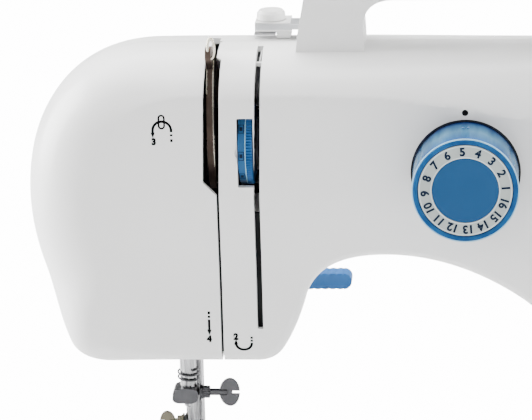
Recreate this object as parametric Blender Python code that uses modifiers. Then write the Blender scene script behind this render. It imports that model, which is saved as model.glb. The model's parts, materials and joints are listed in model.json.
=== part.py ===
"""A compact household sewing machine, as an assembly of separate named solids.

Frame: +X runs along the arm towards the handwheel, +Y from the user to the back, +Z up.
The origin is on the table, below the middle of the machine's bounding box.
"""

import math

import bmesh
import bpy
from mathutils import Matrix, Vector

mm = 0.001

# Driving dimensions -----------------------------------------------------------
GAP = 0.35 * mm  # clearance between touching pieces
WALL = 2.4 * mm  # moulded shell thickness
HALF_LENGTH = 196 * mm
HALF_DEPTH = 85 * mm

FRONT_Y = -5 * mm  # front face of the arm
SEAM_Y = 30 * mm  # parting plane of the front and rear covers
BACK_Y = 75 * mm
ARM_TOP = 272 * mm
HEAD_BOTTOM = 139 * mm
BED = 70 * mm  # top of the free arm
BASE_BOTTOM = 4 * mm
PLATE_TOP = 18 * mm  # top of the foot plate below the free arm

HEAD_LEFT = -196 * mm
SPLIT_X = -112.15 * mm  # parting line between face cover and front cover
SPLIT_HALF = 0.55 * mm
BODY_RIGHT = 172 * mm
COLUMN_LEFT = 38 * mm

NEEDLE_X, NEEDLE_Y = -130.5 * mm, 25 * mm
PRESSER_Y = 39 * mm
NEEDLE_BAR_R = 3.6 * mm
PRESSER_BAR_R = 3.1 * mm
CLAMP_Z = 115.2 * mm
SCREW_Z = 116.8 * mm

SHAFT_Y, SHAFT_Z = 25 * mm, 215 * mm  # main shaft, along X
LOWER_Y, LOWER_Z = 20 * mm, 43 * mm  # lower shaft, along X
SHAFT_R = 4 * mm
HOOK_Y = 6.5 * mm

DIAL_X, DIAL_Z = -9 * mm, 224 * mm
LENGTH_X, LENGTH_Z = 92 * mm, 212 * mm
TENSION_Z = 232.8 * mm
REVERSE_X, REVERSE_Z = 92 * mm, 152 * mm

TAKE_UP_X = -115.6 * mm
TAKE_UP_PIVOT_Y, TAKE_UP_PIVOT_Z = 60 * mm, 238 * mm
TAKE_UP_REACH = 64 * mm
TAKE_UP_ANGLE = math.radians(148)  # from +Y, counter-clockwise seen from +X

LIFTER_Z = 175 * mm
TIMING_X = 78 * mm
DRIVE_X = 150 * mm
MOTOR_Y, MOTOR_Z = 24 * mm, 118 * mm

FREE_ARM_Y0, FREE_ARM_Y1 = -15 * mm, 64 * mm
FREE_ARM_LEFT = -186 * mm
FREE_ARM_BOTTOM = 30 * mm
BLOCK_LEFT = 30 * mm  # left face of the base block below the column

WHITE = ((0.86, 0.86, 0.85), 0.35, 0.0)
BLUE = ((0.05, 0.2, 0.45), 0.3, 0.0)
CHROME = ((0.8, 0.8, 0.8), 0.15, 1.0)
STEEL = ((0.45, 0.45, 0.46), 0.35, 1.0)
BLACK = ((0.02, 0.02, 0.02), 0.6, 0.0)
CAST = ((0.3, 0.31, 0.32), 0.6, 0.9)
RING_GREY = ((0.62, 0.66, 0.66), 0.4, 0.0)
CLEAR = ((0.75, 0.8, 0.82), 0.1, 0.0)

for old in list(bpy.data.objects):
    bpy.data.objects.remove(old)


def collection(name):
    made = bpy.data.collections.new(name)
    bpy.context.scene.collection.children.link(made)
    return made


PARTS = collection("SewingMachine")
CUTTERS = collection("Cutters")


def material(name, finish):
    """A plain material, made once for each name."""
    found = bpy.data.materials.get(name)
    if found:
        return found
    colour, roughness, metallic = finish
    made = bpy.data.materials.new(name)
    made.use_nodes = True
    shader = made.node_tree.nodes["Principled BSDF"]
    shader.inputs["Base Color"].default_value = (*colour, 1)
    shader.inputs["Roughness"].default_value = roughness
    shader.inputs["Metallic"].default_value = metallic
    made.diffuse_color = (*colour, 1)
    return made


FINISHES = {
    "white": WHITE,
    "blue": BLUE,
    "chrome": CHROME,
    "steel": STEEL,
    "black": BLACK,
    "cast": CAST,
    "ring_grey": RING_GREY,
    "clear": CLEAR,
}


# Object helpers ---------------------------------------------------------------
def add(name, data, finish=None):
    """Links data as a part with a finish, or as a hidden helper without one."""
    obj = bpy.data.objects.new(name, data)
    if finish is None:
        CUTTERS.objects.link(obj)
        obj.hide_render = True
        obj.display_type = "WIRE"
    else:
        PARTS.objects.link(obj)
        obj.data.materials.append(material(finish, FINISHES[finish]))
    return obj


def mesh_object(name, bm, finish=None):
    bmesh.ops.recalc_face_normals(bm, faces=bm.faces)
    mesh = bpy.data.meshes.new(name)
    bm.to_mesh(mesh)
    bm.free()
    return add(name, mesh, finish)


def smooth(obj, degrees=35):
    obj.data.shade_smooth()
    obj.data.set_sharp_from_angle(angle=math.radians(degrees))
    return obj


def bevel(obj, width, segments=2, limit=40):
    modifier = obj.modifiers.new("Bevel", "BEVEL")
    modifier.width = width
    modifier.segments = segments
    modifier.limit_method = "ANGLE"
    modifier.angle_limit = math.radians(limit)
    return obj


def boolean(obj, others, operation):
    for other in others:
        modifier = obj.modifiers.new(operation.title(), "BOOLEAN")
        modifier.operation = operation
        modifier.solver = "EXACT"
        modifier.object = other
    return obj


def cut(obj, *others):
    return boolean(obj, others, "DIFFERENCE")


def join(obj, *others):
    return boolean(obj, others, "UNION")


def box(name, x, y, z, finish=None):
    """A box from three (low, high) pairs."""
    bm = bmesh.new()
    bmesh.ops.create_cube(bm, size=1)
    size = [high - low for low, high in (x, y, z)]
    middle = [(high + low) / 2 for low, high in (x, y, z)]
    bmesh.ops.scale(bm, vec=size, verts=bm.verts)
    bmesh.ops.translate(bm, vec=middle, verts=bm.verts)
    return mesh_object(name, bm, finish)


AXIS_TURN = {
    "X": Matrix.Rotation(math.pi / 2, 3, "Y"),
    "Y": Matrix.Rotation(-math.pi / 2, 3, "X"),
    "Z": Matrix.Identity(3),
}


def rod(name, axis, centre, low, high, radius, finish=None, sides=20, end_radius=None):
    """A cylinder or cone along an axis. centre gives the other two coordinates, in X, Y, Z order."""
    bm = bmesh.new()
    bmesh.ops.create_cone(
        bm,
        cap_ends=True,
        segments=sides,
        radius1=radius,
        radius2=radius if end_radius is None else end_radius,
        depth=high - low,
    )
    bmesh.ops.rotate(bm, cent=(0, 0, 0), matrix=AXIS_TURN[axis], verts=bm.verts)
    place = list(centre)
    place.insert("XYZ".index(axis), (low + high) / 2)
    bmesh.ops.translate(bm, vec=place, verts=bm.verts)
    return smooth(mesh_object(name, bm, finish))


def turned(name, profile, axis, place, finish=None, steps=32):
    """A solid of revolution from (radius, height) points, top to bottom. Heights run along the axis."""
    mesh = bpy.data.meshes.new(name)
    points = [(radius, 0, height) for radius, height in profile]
    mesh.from_pydata(points, [(i, i + 1) for i in range(len(points) - 1)], [])
    obj = add(name, mesh, finish)
    screw = obj.modifiers.new("Screw", "SCREW")
    screw.steps = screw.render_steps = steps
    screw.use_merge_vertices = True
    screw.merge_threshold = 0.00001
    screw.use_smooth_shade = True
    obj.matrix_world = Matrix.Translation(place) @ AXIS_TURN[axis].to_4x4()
    return obj


def flat(name, loops, half, place, turn, finish=None):
    """A plate from closed 2D outlines, the first outer and the rest holes, half thick each way."""
    curve = bpy.data.curves.new(name, "CURVE")
    curve.dimensions = "2D"
    curve.fill_mode = "BOTH"
    curve.extrude = half
    for loop in loops:
        spline = curve.splines.new("POLY")
        spline.points.add(len(loop) - 1)
        for point, (u, v) in zip(spline.points, loop):
            point.co = (u, v, 0, 1)
        spline.use_cyclic_u = True
    guide = bpy.data.objects.new(name, curve)
    bpy.context.scene.collection.objects.link(guide)
    guide.matrix_world = Matrix.Translation(place) @ turn.to_4x4()
    return solid_of(guide, name, finish)


def solid_of(guide, name, finish):
    """Replaces a curve object by a closed mesh in the same place."""
    bpy.context.view_layer.update()
    graph = bpy.context.evaluated_depsgraph_get()
    mesh = bpy.data.meshes.new_from_object(guide.evaluated_get(graph))
    bm = bmesh.new()
    bm.from_mesh(mesh)
    bmesh.ops.remove_doubles(bm, verts=bm.verts, dist=0.000001)
    bmesh.ops.recalc_face_normals(bm, faces=bm.faces)
    bm.to_mesh(mesh)
    bm.free()
    place = guide.matrix_world.copy()
    bpy.data.objects.remove(guide)
    mesh.name = name
    mesh.materials.clear()
    obj = add(name, mesh, finish)
    obj.matrix_world = place
    return obj


def wire(name, points, radius, finish=None, sides=2, closed=False):
    """A round wire or tube along a list of points."""
    curve = bpy.data.curves.new(name, "CURVE")
    curve.dimensions = "3D"
    curve.bevel_depth = radius
    curve.bevel_resolution = sides
    curve.use_fill_caps = not closed
    spline = curve.splines.new("POLY")
    spline.points.add(len(points) - 1)
    for point, place in zip(spline.points, points):
        point.co = (*place, 1)
    spline.use_cyclic_u = closed
    guide = bpy.data.objects.new(name, curve)
    bpy.context.scene.collection.objects.link(guide)
    return solid_of(guide, name, finish)


# A plate's own plane, turned so that its outline is read in world axes.
IN_XZ = Matrix(((1, 0, 0), (0, 0, -1), (0, 1, 0)))  # u is X, v is Z
IN_YZ = Matrix(((0, 0, 1), (1, 0, 0), (0, 1, 0)))  # u is Y, v is Z
IN_XY = Matrix.Identity(3)


def circle(u, v, radius, sides=20, start=0.0, end=2 * math.pi):
    """Points of a circle, or of an arc when it has a start and an end."""
    whole = abs(end - start - 2 * math.pi) < 1e-6
    count = sides if whole else sides - 1
    angles = [start + (end - start) * i / count for i in range(sides)]
    return [(u + radius * math.cos(a), v + radius * math.sin(a)) for a in angles]


def capsule(a, b, radius_a, radius_b, sides=9):
    """Outline of a link: two round ends, joined by their outer tangents."""
    heading = math.atan2(b[1] - a[1], b[0] - a[0])
    touch = math.acos((radius_a - radius_b) / math.dist(a, b))
    near = circle(*a, radius_a, sides, heading + touch, heading + 2 * math.pi - touch)
    return near + circle(*b, radius_b, sides, heading - touch, heading + touch)


def rounded(u, v, radius, corner=5):
    """Outline of a rectangle from two (low, high) pairs with round corners."""
    quarter = math.pi / 2
    corners = (
        (u[1] - radius, v[1] - radius, 0),
        (u[0] + radius, v[1] - radius, 1),
        (u[0] + radius, v[0] + radius, 2),
        (u[1] - radius, v[0] + radius, 3),
    )
    points = []
    for cu, cv, turn in corners:
        points += circle(cu, cv, radius, corner, turn * quarter, (turn + 1) * quarter)
    return points


# Body skin --------------------------------------------------------------------
# The covers are lofts. An outline in the XZ plane lies in the parting plane. Rings offset
# inwards from it, by up to a shoulder's width, while they run forwards to the flat face.
def bezier(start, control_a, control_b, end, count):
    """Points along a cubic, after its start."""
    points = []
    for i in range(1, count + 1):
        t = i / count
        weights = ((1 - t) ** 3, 3 * t * (1 - t) ** 2, 3 * t * t * (1 - t), t**3)
        sets = zip(weights, (start, control_a, control_b, end))
        both = [(w * p[0], w * p[1]) for w, p in sets]
        points.append((sum(p[0] for p in both), sum(p[1] for p in both)))
    return points


def path(start, *pieces):
    """An outline in metres from points in millimetres: an (x, z) pair is a straight stretch,
    and a tuple of two controls, an end and a count is a cubic."""
    points = [start]
    for piece in pieces:
        if len(piece) == 2:
            points.append(piece)
        else:
            points += bezier(points[-1], *piece)
    return [(x * mm, z * mm) for x, z in points]


def blend(value, low, high, at_low, at_high):
    """Turns smoothly from at_low to at_high as value goes from low to high."""
    t = min(1, max(0, (value - low) / (high - low)))
    return at_low + (at_high - at_low) * t * t * (3 - 2 * t)


SPLIT_RIGHT = (SPLIT_X + SPLIT_HALF) / mm
SPLIT_LEFT = (SPLIT_X - SPLIT_HALF) / mm
FOOT_Z = (BED + GAP) / mm

TOP_PATH = (
    (-60, 272),
    (0, 272),
    (60, 272),
    (112, 272),
    ((152, 272), (171, 252), (172, 218), 9),
    (172, 160),
    (172, 110),
    (172, FOOT_Z),
)
ARCH_PATH = (
    ((40, 84), (38, 96), (38, 112), 4),
    ((38, 137), (28, 158), (15, 167.2), 6),
    ((0, 177.7), (-20, 186.5), (-42, 186.5), 6),
    ((-62, 186.5), (-72, 180), (-76, 169), 6),
    ((-78, 161), (-82, 151), (-86, 145), 4),
    ((-88.5, 141), (-92, 139.3), (-97, 139), 4),
)
ARCH_START = (47, FOOT_Z)
HEAD_PATH = (
    (-140, 139),
    (-160, 139),
    ((-168, 139), (-174, 141.5), (-177.5, 146.5), 4),
    ((-187.5, 163), (-196, 186), (-196, 207), 7),
    ((-196, 250), (-172, 272), (-140, 272), 10),
)


def shoulder(x, z):
    """Width, depth and end angle of the rounding at an outline point. An end angle under a
    right angle leaves a crease where the shoulder meets the face."""
    on_top = blend(z, 225 * mm, 262 * mm, 0, 1)
    at_left = blend(x, -175 * mm, -125 * mm, 1, 0)
    at_right = blend(x, 60 * mm, 168 * mm, 0, 1)
    crease = 16 * mm + blend(x, -60 * mm, 60 * mm, 0, 14 * mm)
    side = 12 * mm
    low_left = blend(z, 140 * mm, 175 * mm, 10 * mm, 28 * mm)
    below = 4 * mm
    if x < SPLIT_X:
        left = low_left * at_left + below * (1 - at_left)
        width = left * (1 - on_top) + on_top * blend(x, -175 * mm, -125 * mm, 27 * mm, crease)
        depth = blend(z, 140 * mm, 175 * mm, 6 * mm, 32 * mm)
    else:
        right = side * at_right + below * (1 - at_right)
        top = crease * (1 - at_right) + 18 * mm * at_right
        width = right * (1 - on_top) + top * on_top
        depth = (6 * mm + 10 * mm * at_right) * (1 - on_top) + 32 * mm * on_top
    angle = math.radians(90 - 26 * on_top * (1 - at_left))
    return width, depth, angle


def inward(points, i):
    """Unit normal of an open outline, to the side that its body lies on."""
    a = Vector(points[max(0, i - 1)])
    b = Vector(points[min(len(points) - 1, i + 1)])
    if i == 0 or i == len(points) - 1:
        straight = (b - a).normalized()
        # An outline's free ends are level or upright, so their rings stay on the end plane.
        straight = Vector((1, 0)) if abs(straight.x) > abs(straight.y) else Vector((0, 1))
        along = straight if (b - a).dot(straight) > 0 else -straight
    else:
        along = (b - a).normalized()
    return Vector((along.y, -along.x))


RINGS = 6


def skin(name, chains, seam_y, face_y, finish, deepen=1.0):
    """An open lofted surface over one or two outlines that run clockwise, as a solid shell."""
    bm = bmesh.new()
    inner = []
    reach = face_y - seam_y
    for points in chains:
        rings = []
        for i, (x, z) in enumerate(points):
            width, depth, end = shoulder(x, z)
            depth *= deepen
            normal = inward(points, i)
            column = [bm.verts.new((x, seam_y, z))]
            for k in range(RINGS + 1):
                angle = end * k / RINGS
                into = width * (1 - math.cos(angle)) / (1 - math.cos(end))
                along = (abs(reach) - depth) + depth * math.sin(angle) / math.sin(end)
                y = seam_y + math.copysign(along, reach)
                column.append(bm.verts.new((x + normal.x * into, y, z + normal.y * into)))
            rings.append(column)
        for a, b in zip(rings, rings[1:]):
            for k in range(RINGS + 1):
                bm.faces.new((a[k], b[k], b[k + 1], a[k + 1]))
        inner += [column[-1] for column in rings]
    bm.faces.new(inner)
    obj = mesh_object(name, bm, finish)
    facing = obj.data.polygons[len(obj.data.polygons) - 1].normal.y * reach
    if facing < 0:
        obj.data.flip_normals()
    solidify = obj.modifiers.new("Solidify", "SOLIDIFY")
    solidify.thickness = WALL
    solidify.offset = -1
    solidify.use_even_offset = True
    solidify.thickness_clamp = 0
    return smooth(obj, 30)


def front_cover():
    start = (SPLIT_RIGHT, 272)
    top = path(start, *TOP_PATH)
    arch = path(ARCH_START, *ARCH_PATH, (SPLIT_RIGHT, 139))
    cover = skin("front_cover", (top, arch), SEAM_Y - GAP / 2, FRONT_Y, "white")
    slot = box("slot_cutter", (-97 * mm, -94.5 * mm), (-20 * mm, 22 * mm), (157 * mm, 290 * mm))
    window = box(
        "window_cutter", (-103.4 * mm, -96.5 * mm), (-20 * mm, 10 * mm), (218 * mm, 247.6 * mm)
    )
    holes = [slot, window]
    for label, x, z, radius in (
        ("dial", DIAL_X, DIAL_Z, 6 * mm),
        ("length", LENGTH_X, LENGTH_Z, 5 * mm),
    ):
        holes.append(rod(label + "_hole", "Y", (x, z), -20 * mm, 12 * mm, radius, sides=16))
    holes.append(
        box(
            "reverse_hole",
            (REVERSE_X - 8.1 * mm, REVERSE_X + 8.1 * mm),
            (-20 * mm, 12 * mm),
            (REVERSE_Z - 11.5 * mm, REVERSE_Z + 6 * mm),
        )
    )
    holes.append(wheel_hole("front_wheel_hole"))
    return cut(cover, *holes)


def wheel_hole(name):
    """Clears the handwheel's hub through the right-hand wall, which both covers share."""
    return rod(name, "X", (SHAFT_Y, SHAFT_Z), 160 * mm, 180 * mm, 12 * mm, sides=24)


def face_cover():
    points = path((SPLIT_LEFT, 139), *HEAD_PATH, (SPLIT_LEFT, 272))
    cover = skin("face_cover", (points,), SEAM_Y - GAP / 2, FRONT_Y, "white")
    slot = flat(
        "lever_slot_cutter",
        [
            [
                (-118.4 * mm, 300 * mm),
                (-118.4 * mm, 218 * mm),
                (-112 * mm, 212 * mm),
                (-100 * mm, 212 * mm),
                (-100 * mm, 300 * mm),
            ]
        ],
        35 * mm,
        (0, 0, 0),
        IN_XZ,
    )
    notch = box("bar_notch", (-146 * mm, -100 * mm), (8 * mm, 40 * mm), (130 * mm, 150 * mm))
    return cut(cover, slot, notch)


def rear_cover():
    outline = path(
        (47, FOOT_Z),
        *ARCH_PATH,
        *HEAD_PATH,
        (-112, 272),
        *TOP_PATH,
    )
    cover = skin("rear_cover", (outline,), SEAM_Y + GAP / 2, BACK_Y, "white", 1.35)
    notch = box("rear_notch", (-146 * mm, -105 * mm), (20 * mm, 60 * mm), (130 * mm, 150 * mm))
    lifter = rod("lifter_hole", "Y", (NEEDLE_X, LIFTER_Z), 65 * mm, 90 * mm, 4.6 * mm, sides=16)
    lever = box(
        "rear_lever_slot", (-118.4 * mm, -112.6 * mm), (20 * mm, 36 * mm), (262 * mm, 280 * mm)
    )
    deck = box("deck", (71.3 * mm, 116.6 * mm), (45.3 * mm, 62.6 * mm), (260.2 * mm, 271.6 * mm))
    join(cover, bevel(deck, 2 * mm, 2))
    return cut(cover, notch, lifter, lever, wheel_hole("rear_wheel_hole"))


# Base, bed and tray -----------------------------------------------------------
def base_housing():
    """The foot plate and the block that the column stands on, open underneath."""
    low, plate, bed = BASE_BOTTOM + 2.4 * mm, PLATE_TOP, BED
    left, right, step = -188 * mm, 184 * mm, BLOCK_LEFT
    outline = [(left, low), (right, low), (right, bed), (step, bed), (step, plate), (left, plate)]
    body = flat("base_housing", [outline], HALF_DEPTH, (0, 0, 0), IN_XZ, "white")
    bevel(body, 3 * mm, 2)
    inside = [
        (left + WALL, low - 5 * mm),
        (right - WALL, low - 5 * mm),
        (right - WALL, bed - WALL),
        (step + WALL, bed - WALL),
        (step + WALL, plate - WALL),
        (left + WALL, plate - WALL),
    ]
    cavity = flat("base_cavity", [inside], HALF_DEPTH - WALL, (0, 0, 0), IN_XZ)
    shaft = rod("base_shaft_hole", "X", (LOWER_Y, LOWER_Z), 20 * mm, 40 * mm, 8 * mm)
    deck = box("deck_cutter", (56 * mm, 162 * mm), (6 * mm, 64 * mm), (60 * mm, 80 * mm))
    inlet = box("inlet_cutter", (175 * mm, 190 * mm), (2 * mm, 56 * mm), (24 * mm, 44 * mm))
    return smooth(cut(body, cavity, shaft, deck, inlet), 30)


def base_plate():
    plate = flat(
        "base_plate",
        [rounded((-186.5 * mm, 182.5 * mm), (-83.5 * mm, 83.5 * mm), 5 * mm, 4)],
        1 * mm,
        (0, 0, BASE_BOTTOM + 1 * mm),
        IN_XY,
        "steel",
    )
    return plate


def rubber_feet():
    foot = 8 * mm
    for label, x, y in (
        ("front_left", -168, -66),
        ("front_right", 165, -66),
        ("rear_left", -168, 66),
        ("rear_right", 165, 66),
    ):
        turned(
            "rubber_foot_" + label,
            [
                (0, BASE_BOTTOM - GAP),
                (foot, BASE_BOTTOM - GAP),
                (foot * 0.9, 0.6 * mm),
                (foot * 0.8, 0),
                (0, 0),
            ],
            "Z",
            (x * mm, y * mm, 0),
            "black",
            16,
        )


def free_arm():
    """A beam of thin wall, open below and over the hook."""
    outer = flat(
        "free_arm",
        [rounded((FREE_ARM_LEFT, BLOCK_LEFT - GAP), (FREE_ARM_Y0, FREE_ARM_Y1), 9 * mm, 5)],
        (BED - FREE_ARM_BOTTOM) / 2,
        (0, 0, (BED + FREE_ARM_BOTTOM) / 2),
        IN_XY,
        "white",
    )
    inner = flat(
        "free_arm_cavity",
        [
            rounded(
                (FREE_ARM_LEFT + WALL, BLOCK_LEFT + 20 * mm),
                (FREE_ARM_Y0 + WALL, FREE_ARM_Y1 - WALL),
                7 * mm,
                4,
            )
        ],
        (BED - FREE_ARM_BOTTOM) / 2,
        (0, 0, (BED + FREE_ARM_BOTTOM) / 2 - WALL),
        IN_XY,
    )
    top = box("arm_top_cutter", (-166 * mm, -96 * mm), (-10 * mm, 60 * mm), (60 * mm, 80 * mm))
    return smooth(cut(outer, inner, top), 30)


FEED_ROWS = (-6.6 * mm, 0, 6.6 * mm)


def needle_plate():
    """Steel stitch plate with a slot for the needle's swing and one for each row of teeth."""
    holes = [rounded((-4.5 * mm, 4.5 * mm), (-1.2 * mm, 1.2 * mm), 1 * mm, 3)]
    for row in FEED_ROWS:
        start = 8 * mm if row == 0 else 3.6 * mm
        holes.append(rounded((row - 2.2 * mm, row + 2.2 * mm), (start, 26 * mm), 0.6 * mm, 3))
    low_x = -166 * mm + GAP - NEEDLE_X
    high_x = -96 * mm - GAP - NEEDLE_X
    edge = [rounded((low_x, high_x), (-6 * mm, 35 * mm - GAP), 1.2 * mm, 3)]
    place = (NEEDLE_X, NEEDLE_Y, BED - 0.8 * mm)
    return flat("needle_plate", edge + holes, 0.8 * mm, place, IN_XY, "chrome")


def bobbin_cover():
    plate = flat(
        "bobbin_cover",
        [rounded((-166 * mm + GAP, -96 * mm - GAP), (-10 * mm + GAP, 18.7 * mm), 1.5 * mm, 3)],
        1.1 * mm,
        (0, 0, BED - 1.1 * mm),
        IN_XY,
        "clear",
    )
    ledge = rod("cover_grip", "Z", (-157 * mm, 4 * mm), BED - 1 * mm, BED + 4 * mm, 4.5 * mm)
    return cut(plate, ledge)


TRAY_LEFT = -HALF_LENGTH


def accessory_tray():
    """The extension table: it wraps the free arm in front, on the left and behind, and its
    front box is hollow for the accessories."""
    low, high = PLATE_TOP + 0.6 * mm, BED
    inner_left = FREE_ARM_LEFT - 0.8 * mm
    right = BLOCK_LEFT - 0.8 * mm
    outline = [
        (TRAY_LEFT, -HALF_DEPTH),
        (right, -HALF_DEPTH),
        (right, FREE_ARM_Y0 - 0.8 * mm),
        (inner_left, FREE_ARM_Y0 - 0.8 * mm),
        (inner_left, FREE_ARM_Y1 + 0.8 * mm),
        (right, FREE_ARM_Y1 + 0.8 * mm),
        (right, HALF_DEPTH),
        (TRAY_LEFT, HALF_DEPTH),
    ]
    middle = (low + high) / 2
    tray = flat("accessory_tray", [outline], (high - low) / 2, (0, 0, middle), IN_XY, "white")
    bevel(tray, 2.5 * mm, 2)
    hollow = box("tray_hollow", (-180 * mm, 16 * mm), (-90 * mm, -18.5 * mm), (22 * mm, 66.5 * mm))
    return smooth(cut(tray, hollow), 30)


def tray_door():
    door = box(
        "tray_door",
        (-180 * mm + GAP, 16 * mm - GAP),
        (-HALF_DEPTH, -HALF_DEPTH + 2.5 * mm),
        (22 * mm + GAP, 66.5 * mm - GAP),
        "white",
    )
    grip = box("door_grip", (-95 * mm, -69 * mm), (-90 * mm, -84 * mm), (60 * mm, 63.5 * mm))
    return cut(door, grip)


# Hook and feed ----------------------------------------------------------------
def hook():
    """Horizontal rotary hook: a cup on an upright shaft, with its bobbin case and bobbin."""
    place = (NEEDLE_X, HOOK_Y, 0)
    cup = turned(
        "rotary_hook",
        [
            (17.4 * mm, 65 * mm),
            (17.6 * mm, 60 * mm),
            (15 * mm, 54 * mm),
            (4 * mm, 52 * mm),
            (4 * mm, 34 * mm),
            (0, 34 * mm),
            (0, 55.5 * mm),
            (14 * mm, 56.5 * mm),
            (16.2 * mm, 61 * mm),
            (16.2 * mm, 65 * mm),
            (17.4 * mm, 65 * mm),
        ],
        "Z",
        place,
        "steel",
        24,
    )
    at = (NEEDLE_X, HOOK_Y, LOWER_Z)
    join(cup, flat("hook_pinion", [gear_outline(4.9 * mm, 7, 0.6 * mm)], 3.5 * mm, at, IN_XY))
    turned(
        "bobbin_case",
        [
            (15.6 * mm, 67 * mm),
            (15.6 * mm, 61.5 * mm),
            (13.6 * mm, 57 * mm),
            (0, 57 * mm),
            (0, 58.2 * mm),
            (11.6 * mm, 58.2 * mm),
            (11.8 * mm, 66 * mm),
            (15.6 * mm, 67 * mm),
        ],
        "Z",
        place,
        "black",
        24,
    )
    turned(
        "bobbin",
        [
            (10.2 * mm, 67.2 * mm),
            (10.2 * mm, 66.2 * mm),
            (4 * mm, 66.2 * mm),
            (4 * mm, 60 * mm),
            (10.2 * mm, 60 * mm),
            (10.2 * mm, 59 * mm),
            (3 * mm, 59 * mm),
            (3 * mm, 67.2 * mm),
            (10.2 * mm, 67.2 * mm),
        ],
        "Z",
        place,
        "clear",
        20,
    )


def gear_outline(radius, teeth, depth):
    """A simple toothed outline: one square-topped tooth to each step round the circle."""
    points = []
    for i in range(teeth * 4):
        angle = 2 * math.pi * (i + 0.5) / (teeth * 4)
        at = radius if i % 4 in (0, 1) else radius - depth
        points.append((at * math.cos(angle), at * math.sin(angle)))
    return points


def lower_drive():
    """The lower shaft with its timing pulley and the bevel wheel that turns the hook."""
    centre = (LOWER_Y, LOWER_Z)
    shaft = rod("lower_shaft", "X", centre, -140 * mm, 96 * mm, SHAFT_R, "steel", 16)
    place = (NEEDLE_X, LOWER_Y, LOWER_Z)
    gear = flat("shaft_gear", [gear_outline(8.3 * mm, 14, 1.4 * mm)], 4 * mm, place, IN_YZ)
    place = (TIMING_X, LOWER_Y, LOWER_Z)
    wheel = flat("lower_pulley", [circle(0, 0, 11 * mm, 24)], 5 * mm, place, IN_YZ)
    return join(shaft, gear, wheel)


def feed_dog():
    """Carrier with three rows of teeth that stand through the needle plate."""
    x, y = NEEDLE_X, NEEDLE_Y
    carrier = box(
        "feed_dog", (x - 9 * mm, x + 9 * mm), (y + 5 * mm, y + 34 * mm), (62 * mm, 66 * mm), "steel"
    )
    rows = []
    for i, row in enumerate(FEED_ROWS):
        start = 11 * mm if row == 0 else 6.4 * mm
        length = 23 * mm - start
        teeth = 8
        outline = [(start + length, 64 * mm), (start, 64 * mm)]
        for tooth in range(teeth):
            back = start + length * tooth / teeth
            outline.append((back, BED + 0.1 * mm))
            outline.append((back + length / teeth * 0.9, BED + 0.9 * mm))
        outline = [(y + u, v) for u, v in outline]
        rows.append(flat(f"teeth_{i}", [outline], 1.5 * mm, (x + row, 0, 0), IN_YZ))
    return join(carrier, *rows)


# Head mechanism ---------------------------------------------------------------
def needle_assembly():
    x, y = NEEDLE_X, NEEDLE_Y
    bar = rod("needle_bar", "Z", (x, y), 109.5 * mm, 246 * mm, NEEDLE_BAR_R, "chrome", 20)
    cut(bar, rod("needle_socket", "Z", (x, y), 100 * mm, 124 * mm, 1.15 * mm, sides=12))
    outline = rounded((-6.4 * mm, 4.8 * mm), (-5.6 * mm, 4.4 * mm), 2.2 * mm, 4)
    hole = circle(0, 0, NEEDLE_BAR_R + 0.08 * mm, 20)
    clamp = flat("needle_clamp", [outline, hole], 3.4 * mm, (x, y, CLAMP_Z), IN_XY, "steel")
    cut(clamp, rod("clamp_thread", "X", (y, SCREW_Z), x + 1 * mm, x + 20 * mm, 1.3 * mm, sides=12))
    guide_z = 121.5 * mm
    turns, per_turn = 2.1, 12
    count = int(turns * per_turn)
    coil_r = NEEDLE_BAR_R + 0.75 * mm
    coil = []
    for i in range(count + 1):
        angle = 2 * math.pi * i / per_turn
        place = (x + coil_r * math.cos(angle), y - coil_r * math.sin(angle))
        coil.append((*place, guide_z + 2.4 * mm * i / per_turn))
    wire("needle_bar_thread_guide", coil, 0.45 * mm, "steel", 1)
    clamp_screw()
    turned(
        "needle",
        [
            (1.0 * mm, 120 * mm),
            (1.0 * mm, 108 * mm),
            (0.42 * mm, 105.5 * mm),
            (0.4 * mm, 86 * mm),
            (0.08 * mm, 82 * mm),
            (0, 82 * mm),
            (0, 120 * mm),
            (1.0 * mm, 120 * mm),
        ],
        "Z",
        (x, y, 0),
        "chrome",
        10,
    )


def clamp_screw():
    """The thumb screw: thread, collar, neck and a flat round head with a slot."""
    start = NEEDLE_X + 4.2 * mm
    screw = rod(
        "needle_clamp_screw", "X", (NEEDLE_Y, SCREW_Z), start, start + 12 * mm, 1.1 * mm, "steel", 12
    )
    centre = (NEEDLE_Y, SCREW_Z)
    collar = rod("screw_collar", "X", centre, start + 1 * mm, start + 6.4 * mm, 2.9 * mm, sides=16)
    washer = rod("screw_washer", "X", centre, start + 1 * mm, start + 2.6 * mm, 3.7 * mm, sides=16)
    head_x = start + 14.4 * mm
    head = flat(
        "screw_head",
        [[(4.3 * mm * math.cos(a), 5.9 * mm * math.sin(a)) for _, a in angles(24)]],
        0.8 * mm,
        (head_x, NEEDLE_Y, SCREW_Z),
        IN_XZ,
    )
    slot = box(
        "screw_slot",
        (head_x + 1.2 * mm, head_x + 6 * mm),
        (NEEDLE_Y - 3 * mm, NEEDLE_Y + 3 * mm),
        (SCREW_Z - 0.75 * mm, SCREW_Z + 0.75 * mm),
    )
    join(screw, collar, washer, head)
    cut(screw, slot)


def angles(count):
    return [(i, 2 * math.pi * i / count) for i in range(count)]


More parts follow.
